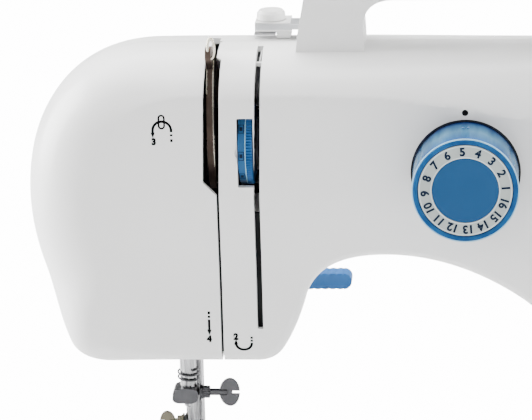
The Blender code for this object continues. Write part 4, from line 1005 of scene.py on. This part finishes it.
def tension_wheel():
    """The tension wheel: a smooth band with two boxed marks, a pale line and a knurled band."""
    x0, x1 = (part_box("tension_dial")[i][0] for i in (0, 1))
    radius = (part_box("tension_dial")[1][2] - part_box("tension_dial")[0][2]) / 2
    middle = x0 + 3.1 * mm
    place = (0, TENSION.y, TENSION.z)
    smooth_band = turned(
        "tension_band",
        "X",
        place,
        [
            (radius - 0.5 * mm, x0),
            (radius - 0.1 * mm, x0 + 0.2 * mm),
            (radius - 0.1 * mm, middle - 0.3 * mm),
            (radius - 0.5 * mm, middle),
        ],
        160,
    )
    place_piece(smooth(smooth_band), "tension_wheel", "blue_control", BAND_BLUE, ["tension_dial"])

    def ribs(at, height, angle):
        return at - 0.75 * mm * (0.5 + 0.5 * math.cos(84 * angle)) ** 1.2

    knurl = turned(
        "tension_knurl",
        "X",
        place,
        [
            (radius - 0.6 * mm, middle + 0.05 * mm),
            (radius - 0.15 * mm, middle + 0.25 * mm),
            (radius, middle + 0.6 * mm),
            (radius, x1 + 0.3 * mm),
            (radius - 0.6 * mm, x1 + 0.7 * mm),
        ],
        656,
        ribs,
    )
    place_piece(smooth(knurl, 50), "tension_wheel", look=WHEEL_BLUE)
    line = [circle(0, 0, radius - 0.12 * mm, 96), circle(0, 0, radius - 2 * mm, 96)]
    seam = plate("tension_line", line, 0.16 * mm, (middle, TENSION.y, TENSION.z), IN_YZ)
    place_piece(seam, "tension_wheel", look=PALE_BLUE)
    for i, degrees in enumerate((36, -3, -39)):
        curved_mark(f"tension_mark_{i}", x0 + 1.4 * mm, radius - 0.08 * mm, math.radians(degrees))


def curved_mark(name, x, radius, angle):
    """A boxed mark printed round the wheel's edge. Its angle is up from straight forwards."""
    half_x, half_a, line = 1.25 * mm, math.radians(6.6), 0.3 * mm
    bm = bmesh.new()

    def patch(u0, u1, a0, a1):
        low, high = [], []
        for i in range(7):
            a = a0 + (a1 - a0) * i / 6
            y = TENSION.y - radius * math.cos(angle + a)
            z = TENSION.z + radius * math.sin(angle + a)
            low.append(bm.verts.new((x + u0, y, z)))
            high.append(bm.verts.new((x + u1, y, z)))
        for i in range(6):
            bm.faces.new((low[i], high[i], high[i + 1], low[i + 1]))

    turn = line / radius
    patch(-half_x, half_x, half_a - turn, half_a)
    patch(-half_x, half_x, -half_a, -half_a + turn)
    patch(-half_x, -half_x + line, -half_a + turn, half_a - turn)
    patch(half_x - line, half_x, -half_a + turn, half_a - turn)
    patch(-half_x * 0.5, half_x * 0.5, -half_a * 0.45, half_a * 0.45)
    obj = from_bmesh(name, bm)
    solidify = obj.modifiers.new("Solidify", "SOLIDIFY")
    solidify.thickness = 0.05 * mm
    solidify.offset = 0
    return place_piece(applied(obj), "tension_wheel", look=DIGIT_INK)


WHEEL_BLUE = plastic("Wheel blue", (0.012, 0.085, 0.24), 0.4, vary=0.1, ior=1.3)
BAND_BLUE = plastic("Band blue", (0.018, 0.075, 0.18), 0.5, vary=0.06, ior=1.15)
PALE_BLUE = plastic("Pale blue", (0.25, 0.50, 0.68), 0.35, vary=0.05)


def lifter_lever():
    """The presser lifter: a flat arm behind the head and a ribbed finger grip."""
    x, z = LIFTER.x, LIFTER.z
    high = corners("presser_lifter")[1]
    tip_x = high.x
    root = (-84 * mm, 149.5 * mm)
    arm = plate(
        "lifter_lever",
        [capsule((x, z), (-86 * mm, 150.5 * mm), 8 * mm, 4 * mm, 24)],
        1.9 * mm,
        (0, 79.5 * mm, 0),
        IN_XZ,
    )
    bevel(arm, 0.5 * mm, 2)
    shaft = rod("lifter_shaft", "Y", (x, z), 50.5 * mm, 80 * mm, 4 * mm, 32)
    half = 3.7 * mm
    upper, lower = [], []
    ribs = 7
    span = tip_x - 4 * mm - root[0]
    for i in range(ribs * 12 + 1):
        u = root[0] - 4 * mm + (span + 4 * mm) * i / (ribs * 12)
        wave = 0.42 * mm * abs(math.sin(math.pi * i / 12)) ** 0.7
        upper.append((u, root[1] + half - 0.4 * mm + wave))
        lower.append((u, root[1] - half + 0.4 * mm - wave))
    end = circle(tip_x - 4 * mm, root[1], half, 14, math.pi / 2, -math.pi / 2)
    grip = plate("lifter_grip", [upper + end + lower[::-1]], 4.4 * mm, (0, 79.9 * mm, 0), IN_XZ)
    bevel(grip, 0.6 * mm, 3, 60)
    smooth(grip, 30)
    place_piece(grip, "lifter", "blue_control")
    join(arm, shaft)
    place_piece(smooth(arm, 35), "lifter", "blue_control", replaces=["presser_lifter"])


def take_up():
    """The take-up lever: a dark curved blade that fills the slot, and a pale loop at its tip."""
    low, high = corners("take_up_lever")
    pivot = Vector(JOINTS["take_up_swing"]["pos_m"][1:])
    tip = Vector((low.y + 3.6 * mm, high.z - 3.6 * mm))
    x = (low.x + high.x) / 2 + 0.35 * mm
    arm = plate(
        "lever_arm", [capsule(pivot, tip, 5.2 * mm, 3.6 * mm, 24)], 1.2 * mm, (x, 0, 0), IN_YZ
    )
    start = math.atan2(tip.y - pivot.y, tip.x - pivot.x)
    sweep = math.radians(58)
    front, back = 56.5 * mm, 49.5 * mm
    outer = [start + sweep * i / 40 for i in range(41)]
    blade = [pivot + front * Vector((math.cos(a), math.sin(a))) for a in outer]
    blade += [pivot + back * Vector((math.cos(a), math.sin(a))) for a in reversed(outer)]
    blade = plate("lever_blade", [[tuple(point) for point in blade]], 1.5 * mm, (x, 0, 0), IN_YZ)
    join(arm, blade)
    bore = rod("bore", "X", tuple(pivot), x - 5 * mm, x + 5 * mm, 3.1 * mm, 32)
    cut(arm, bore)
    bevel(arm, 0.3 * mm, 2)
    place_piece(smooth(arm, 35), "take_up", "chrome", LEVER_DARK, ["take_up_lever"])
    for i, (side, share) in enumerate(((-1, 0.25), (1, 0.8))):
        edge = []
        for k in range(33):
            angle = start + sweep * share * k / 32
            spot = pivot + (front + 0.1 * mm) * Vector((math.cos(angle), math.sin(angle)))
            edge.append((x + 1.35 * side * mm, spot.x, spot.y))
        place_piece(tube(f"lever_edge_{i}", edge, 0.32 * mm, 3), "take_up", "chrome", IVORY_STEEL)
    x += 1.25 * mm
    y = low.y + 1.2 * mm
    loop = []
    for a in steps(32):
        loop.append((x + 1.35 * mm * math.cos(a), y, high.z - 0.3 * mm + 4.3 * mm * math.sin(a)))
    wire = tube("lever_loop", loop, 0.6 * mm, 4, cyclic=True)
    place_piece(wire, "take_up", "chrome", IVORY_STEEL)


IVORY_STEEL = metal("Polished lever", (0.70, 0.66, 0.56), 0.25)
LEVER_DARK = metal("Lever bronze", (0.075, 0.055, 0.045), 0.5, (1, 0.1, 0.1), 0.2)


def channel_bridge():
    """The small bridge and rib that close the top of the right-hand slot."""
    x = (CHANNEL[0] + CHANNEL[1]) / 2 + drift(TOP_Z)
    y, z = 11.5 * mm, 266.6 * mm
    wide = CHANNEL[1] - CHANNEL[0] + 0.6 * mm
    deep, tall = (y - 1 * mm, y + 1 * mm), (z - 1 * mm, z + 0.8 * mm)
    bridge = box("slot_bridge", (x - wide / 2, x + wide / 2), deep, tall)
    bevel(bridge, 0.3 * mm, 3)
    place_piece(smooth(bridge), "machine", "white_shell")
    line = []
    for dx, dy, dz in ((0, 0, 0), (0.3, 5, 1.9), (0.5, 10, 3.2)):
        line.append((x + dx * mm, y + dy * mm, z + dz * mm))
    rib = tube("slot_rib", line, 0.3 * mm, 3)
    place_piece(rib, "machine", "white_shell")


def slot_backings():
    """Near-black strips on the frame, behind the seam between the covers and the right-hand slot: painted
    shade in these gaps.
    """
    strips = (
        ("seam_shade_strip", (SPLIT_LEFT - 0.5 * mm, SPLIT_RIGHT + 2 * mm), 7 * mm, (142.6 * mm, 212 * mm)),
        ("slot_shade_strip", (CHANNEL[0] - 2 * mm, CHANNEL[1] + 3 * mm), 9 * mm, (152 * mm, 204 * mm)),
    )
    for name, across, deep, tall in strips:
        strip = box(name, across, (FRONT_Y + deep, FRONT_Y + deep + 2 * mm), tall)
        bevel(strip, 0.3 * mm, 2)
        place_piece(smooth(strip), "machine", "casting", GAP_SHADE_BLACK)


def guide_strip():
    """A folded steel strip below the upper thread guide."""
    low, high = corners("thread_guide_arm")
    y = low.y - 0.6 * mm
    across, tall = (low.x + 0.4 * mm, high.x + 4 * mm), (high.z - 3.0 * mm, high.z - 0.5 * mm)
    strip = box("guide_strip", across, (y, y + 12 * mm), tall)
    bevel(strip, 0.3 * mm, 2)
    place_piece(smooth(strip), "machine", "sheet_steel")


# Needle end -------------------------------------------------------------------
SCREW_Z = (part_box("needle_clamp_screw")[0][2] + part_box("needle_clamp_screw")[1][2]) / 2
SATIN = metal("Satin nickel", (0.075, 0.075, 0.08), 0.38, (1, 1, 0.08), 0.08)
# Chrome of the bars and the needle: its streaks are painted reflections.
BAR_CHROME = ground_metal("Bar chrome", (0.045, 0.045, 0.05), (0.42, 0.42, 0.43), 0.24)
DULL_BRASS = metal("Dull nickel", (0.17, 0.155, 0.115), 0.4, (1, 0.1, 1), 0.15)


def needle_clamp():
    """The clamp block, wider at its foot and with a rounded face."""
    low, high = corners("needle_clamp")
    width = high.x - low.x
    tall = high.z - low.z
    middle = (low.z + high.z) / 2
    outline = []
    for u, v in rounded((-0.5, 0.5), (-0.5, 0.5), 0.3, 10):
        lean = 0.06 * (0.5 - v)
        outline.append(((low.x + high.x) / 2 + (u - lean * 0.8) * width, middle + v * tall))
    block = plate(
        "clamp_block", [outline], (high.y - low.y) / 2, (0, (low.y + high.y) / 2, 0), IN_XZ
    )
    bevel(block, 0.7 * mm, 4)
    bore = rod("bore", "Z", (NEEDLE.x, NEEDLE.y), 100 * mm, 130 * mm, 3.72 * mm, 48)
    cut(block, bore)
    place_piece(smooth(block, 40), "needle_holder", look=SATIN, slot="steel", replaces=["needle_clamp"])


def thumb_screw(name, start, side, y, z, head_at, size, look, body, replaced):
    """A thumb screw along X: washer, collar, neck and a flat round head with a slot."""
    def at(near, far):
        return sorted((start + side * near * mm, start + side * far * mm))

    def knurl(radius, height, angle):
        return radius - 0.25 * mm * (0.5 + 0.5 * math.cos(18 * angle))

    centre = (y, z)
    reach = head_at - 4.4
    screw = rod(name, "X", centre, *at(0, head_at - 1), 1.55 * mm, 32)
    washer = rod("washer", "X", centre, *at(0.9, 1.5), 3.8 * mm, 48)
    seat = rod("seat", "X", centre, *at(1.4, 2.2), 3.1 * mm, 48)
    low, high = at(2.1, min(5.2, reach))
    profile = [(2.5 * mm, low), (2.8 * mm, low + 0.3 * mm), (2.8 * mm, high - 0.3 * mm), (2.5 * mm, high)]
    collar = turned("collar", "X", (0, y, z), profile, 144, knurl)
    outline = []
    for a in steps(64):
        flare = 1 + 0.05 * math.cos(a) * side
        outline.append((size[0] * mm * math.cos(a), size[1] * mm * flare * math.sin(a)))
    place = (start + side * head_at * mm, y, z)
    head = plate("head", [outline], 0.75 * mm, place, IN_XZ)
    x0, x1 = at(head_at + 1.2, head_at + 6)
    slot = box("slot", (x0, x1), (y - 3 * mm, y + 3 * mm), (z - 0.75 * mm, z + 0.75 * mm))
    join(screw, washer, seat, collar, head)
    cut(screw, slot)
    bevel(screw, 0.15 * mm, 2, 50)
    return place_piece(smooth(screw, 35), body, look=look, slot="steel", replaces=[replaced])


def presser_bar():
    """The presser bar with its thicker lower sleeve, and the ankle that holds the foot."""
    low, high = corners("presser_bar")
    x = NEEDLE.x + 1.2 * mm
    y = (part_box("presser_foot_holder")[0][1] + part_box("presser_foot_holder")[1][1]) / 2 + 1.4 * mm
    sleeve = low.z + 61 * mm
    profile = [
        (3.9 * mm, low.z),
        (4.2 * mm, low.z + 0.3 * mm),
        (4.2 * mm, sleeve - 0.5 * mm),
        (3.7 * mm, sleeve),
    ]
    bar = turned("presser_bar_fine", "Z", (x, y, 0), profile, 64)
    profile = [(3.0 * mm, sleeve - 5 * mm), (3.0 * mm, high.z - 0.5 * mm), (2.5 * mm, high.z)]
    upper = turned("upper_bar", "Z", (NEEDLE.x, y, 0), profile, 64)
    arm = box("arm", (NEEDLE.x - 5 * mm, NEEDLE.x), (y - 4 * mm, high.y), (184.6 * mm, 192 * mm))
    join(bar, upper, arm)
    place_piece(smooth(bar, 40), "presser", "chrome", BAR_CHROME, ["presser_bar"])
    low, high = corners("presser_foot_holder")
    block = box(
        "holder_fine",
        (low.x + 1.6 * mm, high.x - 0.8 * mm),
        (low.y + 3.9 * mm, high.y),
        (high.z - 14 * mm, high.z - 2.2 * mm),
    )
    toe = low.y + 0.1 * mm
    outline = [
        (toe + 3 * mm, high.z - 6 * mm),
        (toe, high.z - 14 * mm),
        (toe, low.z),
        (toe + 6 * mm, low.z),
        (toe + 6 * mm, high.z - 14 * mm),
        (toe + 8 * mm, high.z - 8 * mm),
    ]
    ankle = plate("ankle", [outline], 4.3 * mm, (NEEDLE.x, 0, 0), IN_YZ)
    join(block, ankle)
    bevel(block, 0.6 * mm, 3)
    place_piece(smooth(block, 40), "presser", "steel", SATIN, ["presser_foot_holder"])


def needle_bar():
    """The needle bar, stepped in below its clamp, with the needle in its end."""
    low, high = corners("needle_bar")
    radius = (high.x - low.x) / 2
    profile = [
        (1.7 * mm, low.z - 0.6 * mm),
        (2.1 * mm, low.z - 0.2 * mm),
        (2.1 * mm, low.z + 3.2 * mm),
        (radius, low.z + 3.6 * mm),
        (radius, high.z - 0.5 * mm),
        (radius - 0.5 * mm, high.z),
    ]
    bar = turned("needle_bar_fine", "Z", (NEEDLE.x, NEEDLE.y, 0), profile, 64)
    place_piece(smooth(bar, 40), "needle_holder", "chrome", BAR_CHROME, ["needle_bar"])
    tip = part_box("needle")[0][2]
    profile = [
        (0.05 * mm, tip),
        (0.3 * mm, tip + 2.2 * mm),
        (0.48 * mm, tip + 6 * mm),
        (0.48 * mm, low.z - 2.4 * mm),
        (0.95 * mm, low.z - 1.2 * mm),
        (0.95 * mm, low.z + 6 * mm),
    ]
    needle = turned("needle_fine", "Z", (NEEDLE.x, NEEDLE.y, 0), profile, 32)
    eye = rod("eye", "Y", (NEEDLE.x, tip + 4.6 * mm), 20 * mm, 30 * mm, 0.2 * mm, 16)
    cut(needle, eye)
    place_piece(smooth(needle, 40), "needle_holder", "chrome", BAR_CHROME, ["needle"])


def needle_end():
    needle_clamp()
    low = Vector(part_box("needle_clamp_screw")[0])
    lower = 1.4 * mm
    thumb_screw(
        "clamp_screw",
        low.x,
        1,
        NEEDLE.y,
        SCREW_Z - lower,
        13.8,
        (4.55, 6.4),
        SATIN,
        "needle_holder",
        "needle_clamp_screw",
    )
    low, high = corners("foot_screw")
    thumb_screw(
        "holder_screw",
        high.x + 0.6 * mm,
        -1,
        (low.y + high.y) / 2,
        (low.z + high.z) / 2 - 0.7 * mm,
        8.4,
        (3.5, 4.9),
        DULL_BRASS,
        "presser",
        "foot_screw",
    )
    needle_bar()
    presser_bar()
    guide = Vector(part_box("needle_bar_thread_guide")[0])
    radius = 4.35 * mm
    loops = []
    for i in range(53):
        angle = 2 * math.pi * i / 24
        place = (NEEDLE.x + radius * math.cos(angle), NEEDLE.y - radius * math.sin(angle))
        loops.append((*place, guide.z + 0.5 * mm + 2.3 * mm * i / 24))
    wire = tube("guide_loops", loops, 0.42 * mm, 3)
    place_piece(
        wire, "needle_holder", look=SATIN, slot="steel", replaces=["needle_bar_thread_guide"]
    )


# Marks ------------------------------------------------------------------------
def ribbon(name, points, width, body, closed=False):
    """A printed line over the front, from (x, z) points."""
    bm = bmesh.new()
    sides = []
    count = len(points)
    for i, point in enumerate(points):
        a = Vector(points[i - 1 if closed or i else 0])
        b = Vector(points[(i + 1) % count if closed else min(count - 1, i + 1)])
        along = (b - a).normalized()
        off = Vector((-along.y, along.x)) * width / 2
        pair = []
        for sign in (1, -1):
            x, z = Vector(point) + off * sign
            pair.append(bm.verts.new((x, front_y(x, z) - 0.03 * mm, z)))
        sides.append(pair)
    joins = list(zip(sides, sides[1:]))
    if closed:
        joins.append((sides[-1], sides[0]))
    for a, b in joins:
        bm.faces.new((a[0], b[0], b[1], a[1]))
    return inked(name, bm, body)


def inked(name, bm, body):
    obj = from_bmesh(name, bm)
    solidify = obj.modifiers.new("Solidify", "SOLIDIFY")
    solidify.thickness = 0.06 * mm
    solidify.offset = 0
    return place_piece(applied(obj), body, look=PRINT)


def arrow_head(name, tip, heading, size, body):
    """A printed triangle with its point at tip."""
    way = Vector((math.cos(heading), math.sin(heading)))
    across = Vector((-way.y, way.x))
    back = Vector(tip) - way * size
    bm = bmesh.new()
    corners = []
    for x, z in (Vector(tip), back + across * size * 0.36, back - across * size * 0.36):
        corners.append(bm.verts.new((x, front_y(x, z) - 0.03 * mm, z)))
    bm.faces.new(corners)
    return inked(name, bm, body)


def mark_digit(name, text, x, z, body):
    label = lettered(name, text, 3.7 * mm, 0.06 * mm, 0.07)
    place = Matrix.Translation((x, front_y(x, z) - 0.1 * mm, z))
    label.data.transform(place @ Matrix.Rotation(math.pi / 2, 4, "X"))
    return place_piece(label, body, look=PRINT)


LINE = 1.05 * mm


def dashes(name, x, spans, body):
    for i, (top, bottom) in enumerate(spans):
        ribbon(f"{name}_{i}", [(x, top), (x, bottom)], LINE, body)


def thread_marks():
    """Numbered arrows that show the thread's way past the lever and the hooks."""
    x, z = -134.5 * mm, 242.4 * mm
    half = 3.85 * mm
    arch = circle(x, z, half, 24, math.pi, 0)
    line = [(x - half, z - 1.2 * mm), *arch, (x + half, z - 0.7 * mm)]
    ribbon("mark_three_arch", line, LINE, "end_door")
    arrow_head("mark_three_head", (x - half, z - 3.3 * mm), -math.pi / 2, 2.4 * mm, "end_door")
    oval = capsule((x - 0.1 * mm, z + 2.0 * mm), (x - 0.1 * mm, z + 5.3 * mm), 1.15 * mm, 1.15 * mm, 12)
    ribbon("mark_three_loop", oval, 0.75 * mm, "end_door", closed=True)
    spans = ((z - 1.6 * mm, z - 2.4 * mm), (z - 3.7 * mm, z - 4.9 * mm))
    dashes("mark_three_dash", x + half, spans, "end_door")
    mark_digit("mark_three_digit", "3", x - 3.5 * mm, z - 4.9 * mm, "end_door")
    x, top = -117.6 * mm, 162.3 * mm
    spans = ((top, top - 1.3 * mm), (top - 1.9 * mm, top - 2.9 * mm), (top - 3.6 * mm, top - 8.6 * mm))
    dashes("mark_four_dash", x, spans, "end_door")
    arrow_head("mark_four_head", (x, top - 10.9 * mm), -math.pi / 2, 2.7 * mm, "end_door")
    mark_digit("mark_four_digit", "4", x - 0.1 * mm, top - 12.4 * mm, "end_door")
    x, z = -103.0 * mm, 148.0 * mm
    half = 3.35 * mm
    bend = [(x + half * math.cos(a), z - 2.8 * mm * math.sin(a)) for a in steps(40)[:21]]
    ribbon("mark_two_bend", [(x + half, z + 0.3 * mm), *bend], LINE, "machine")
    arrow_head("mark_two_head", (x - half, z + 2.0 * mm), math.pi / 2, 2.5 * mm, "machine")
    spans = ((z + 1.6 * mm, z + 0.8 * mm), (z + 3.0 * mm, z + 2.1 * mm))
    dashes("mark_two_dash", x + half, spans, "machine")
    mark_digit("mark_two_digit", "2", x - half, z + 2.9 * mm, "machine")


# Top and right-hand end -------------------------------------------------------
def handle():
    low, high = corners("carrying_handle")
    z = low.z
    outer = path(
        (-80, 0),
        (-75, 27),
        ((-73, 33), (-68, 35.6), (-60, 35.6), 2),
        (56, 35.6),
        ((64, 35.6), (69, 33), (71, 27), 2),
        (76, 0),
        (47, 0),
        (47.6, 8),
        ((47.6, 16), (43, 20), (35, 20), 2),
        (-39, 20),
        ((-47, 20), (-51.6, 16), (-51.6, 8), 2),
        (-51, 0),
    )
    sunk = 4 * mm
    outline = [(x, v + z if v > 0 else v + z - sunk) for x, v in outer]
    forward = 4.5 * mm
    half = (high.y - low.y + forward) / 2
    piece = plate("handle", [outline], half, (0, (high.y + low.y - forward) / 2, 0), IN_XZ)
    bevel(piece, 2.6 * mm, 5, 30)
    return place_piece(smooth(piece, 30), "machine", "white_shell", replaces=["carrying_handle"])


def handwheel():
    """The handwheel: a dished rim with finger grooves round its edge."""
    def grips(radius, height, angle):
        wave = (0.5 + 0.5 * math.cos(40 * angle)) ** 2
        return radius - (0.9 * mm * wave if radius > 32.5 * mm else 0)

    profile = [
        (10.5, 168.2),
        (10.5, 172.6),
        (29.5, 173.6),
        (31.6, 174.3),
        (33.2, 175.8),
        (34, 178),
        (34, 184),
        (33.2, 186.2),
        (31.4, 187.6),
        (29, 188.4),
        (27, 187.4),
        (18, 186.6),
        (14.5, 188.6),
        (13.2, 189.8),
        (12.5, 189.6),
        (12.5, 184.3),
        (4.4, 184.2),
    ]
    wheel = turned(
        "wheel",
        "X",
        (0, SHAFT.y, SHAFT.z),
        [(r * mm, h * mm) for r, h in profile],
        320,
        grips,
    )
    place_piece(smooth(wheel, 40), "upper_drive", "white_shell", replaces=["handwheel"])


# Pieces that keep the frame's shape -------------------------------------------
SOFT_EDGES = {
    "base_housing": 1.6 * mm,
    "accessory_tray": 1.2 * mm,
    "tray_door": 0.4 * mm,
    "free_arm": 0.8 * mm,
    "reverse_lever": 0.4 * mm,
    "thread_guide_arm": 0.3 * mm,
    "presser_foot": 0.25 * mm,
    "presser_foot_holder": 0.5 * mm,
    "needle_plate": 0.15 * mm,
    "mains_inlet": 0.3 * mm,
    "power_switch": 0.3 * mm,
    "take_up_lever": 0.25 * mm,
    "main_frame": 0.6 * mm,
    "needle_bar_frame": 0.4 * mm,
    "motor": 0.8 * mm,
}


def refinish_nodes():
    """Gives each node that still shows its own finish, and softens its edges."""
    slots = {part["node"]: part["material_slot"] for part in frame["record"]["subparts"]}
    # The parts inside the housing get near-black steel instead of their own finish: painted shade seen
    # through the slots.
    shaded_inside = ("main_shaft", "crank_disc", "main_frame", "tension_unit", "needle_bar_frame")
    for name, obj in NODES.items():
        obj.data.materials.clear()
        obj.data.materials.append(INSIDE_SHADE_STEEL if name in shaded_inside else LOOKS[slots[name]])
        obj.data.shade_smooth()
        obj.data.set_sharp_from_angle(angle=math.radians(32))
        if name in SOFT_EDGES:
            modifier = obj.modifiers.new("Soft edges", "BEVEL")
            modifier.width = SOFT_EDGES[name]
            modifier.segments = 3
            modifier.limit_method = "ANGLE"
            modifier.angle_limit = math.radians(40)
            modifier.harden_normals = True


# Stage ------------------------------------------------------------------------
def stage():
    bm = bmesh.new()
    bmesh.ops.create_grid(bm, x_segments=1, y_segments=1, size=6)
    floor = from_bmesh("floor", bm)
    look = Look("Floor")
    cloud = look.noise(2, 2)
    look.drive("Base Color", look.ramp(cloud, (0.3, (0.80, 0.80, 0.80)), (0.7, (0.82, 0.82, 0.82))))
    look.set(Roughness=0.8)
    # The camera sees the floor as a lit white sweep. Every other ray sees plain pale paint.
    glow = look.nodes.new("ShaderNodeEmission")
    glow.inputs["Strength"].default_value = 15
    seen = look.nodes.new("ShaderNodeLightPath").outputs["Is Camera Ray"]
    mix = look.nodes.new("ShaderNodeMixShader")
    look.links.new(seen, mix.inputs[0])
    look.links.new(look.shader.outputs[0], mix.inputs[1])
    look.links.new(glow.outputs[0], mix.inputs[2])
    look.links.new(mix.outputs[0], look.nodes["Material Output"].inputs["Surface"])
    floor.data.materials.append(look.material)


def area_light(name, place, target, size, power):
    data = bpy.data.lights.new(name, "AREA")
    data.shape = "RECTANGLE"
    data.size, data.size_y = size
    data.energy = power
    lamp = linked(name, data)
    lamp.location = place
    lamp.rotation_euler = (Vector(target) - Vector(place)).to_track_quat("-Z", "Y").to_euler()
    return lamp


def lights():
    world = bpy.data.worlds.new("Studio")
    bpy.context.scene.world = world
    world.use_nodes = True
    world.node_tree.nodes["Background"].inputs["Color"].default_value = (1, 1, 1, 1)
    world.node_tree.nodes["Background"].inputs["Strength"].default_value = 0.52
    middle = (0, 0.03, 0.18)
    area_light("top", (-0.1, 0.55, 1.7), middle, (2.4, 1.6), 105)
    area_light("front", (-0.7, -2.2, 1.2), middle, (1.8, 1.4), 24)
    area_light("left", (-1.7, 0.4, 0.7), middle, (1.2, 1.4), 115)
    area_light("right", (1.7, 0.2, 0.9), middle, (1.2, 1.2), 60)


def camera():
    """A long lens a little above the machine and a little to the right of its front."""
    azimuth, elevation = math.radians(4.85), math.radians(17.0)
    target = Vector((-0.092, FRONT_Y, 0.208))
    back = Vector(
        (
            math.sin(azimuth) * math.cos(elevation),
            -math.cos(azimuth) * math.cos(elevation),
            math.sin(elevation),
        )
    )
    data = bpy.data.cameras.new("camera")
    data.sensor_width = 36
    data.lens = 178.6
    data.clip_start = 0.05
    obj = linked("camera", data)
    obj.location = target + back * 1.1
    level = back.to_track_quat("Z", "Y").to_matrix().to_4x4()
    roll = Matrix.Rotation(math.radians(ROLL), 4, "Z")
    obj.rotation_euler = (level @ roll).to_euler()
    bpy.context.scene.camera = obj


ROLL = -1.42

camera()
stage()
lights()
refinish_nodes()
front_shell()
face_shell()
rear_shell()
channel_strip()
dial_body()
length_dial()
dot("index_dot", DIAL.x - 0.2 * mm, DIAL.z + 25.6 * mm, 1.3 * mm, "machine")
tension_wheel()
lifter_lever()
slot_backings()
take_up()
channel_bridge()
guide_strip()
needle_end()
thread_marks()
handle()
handwheel()
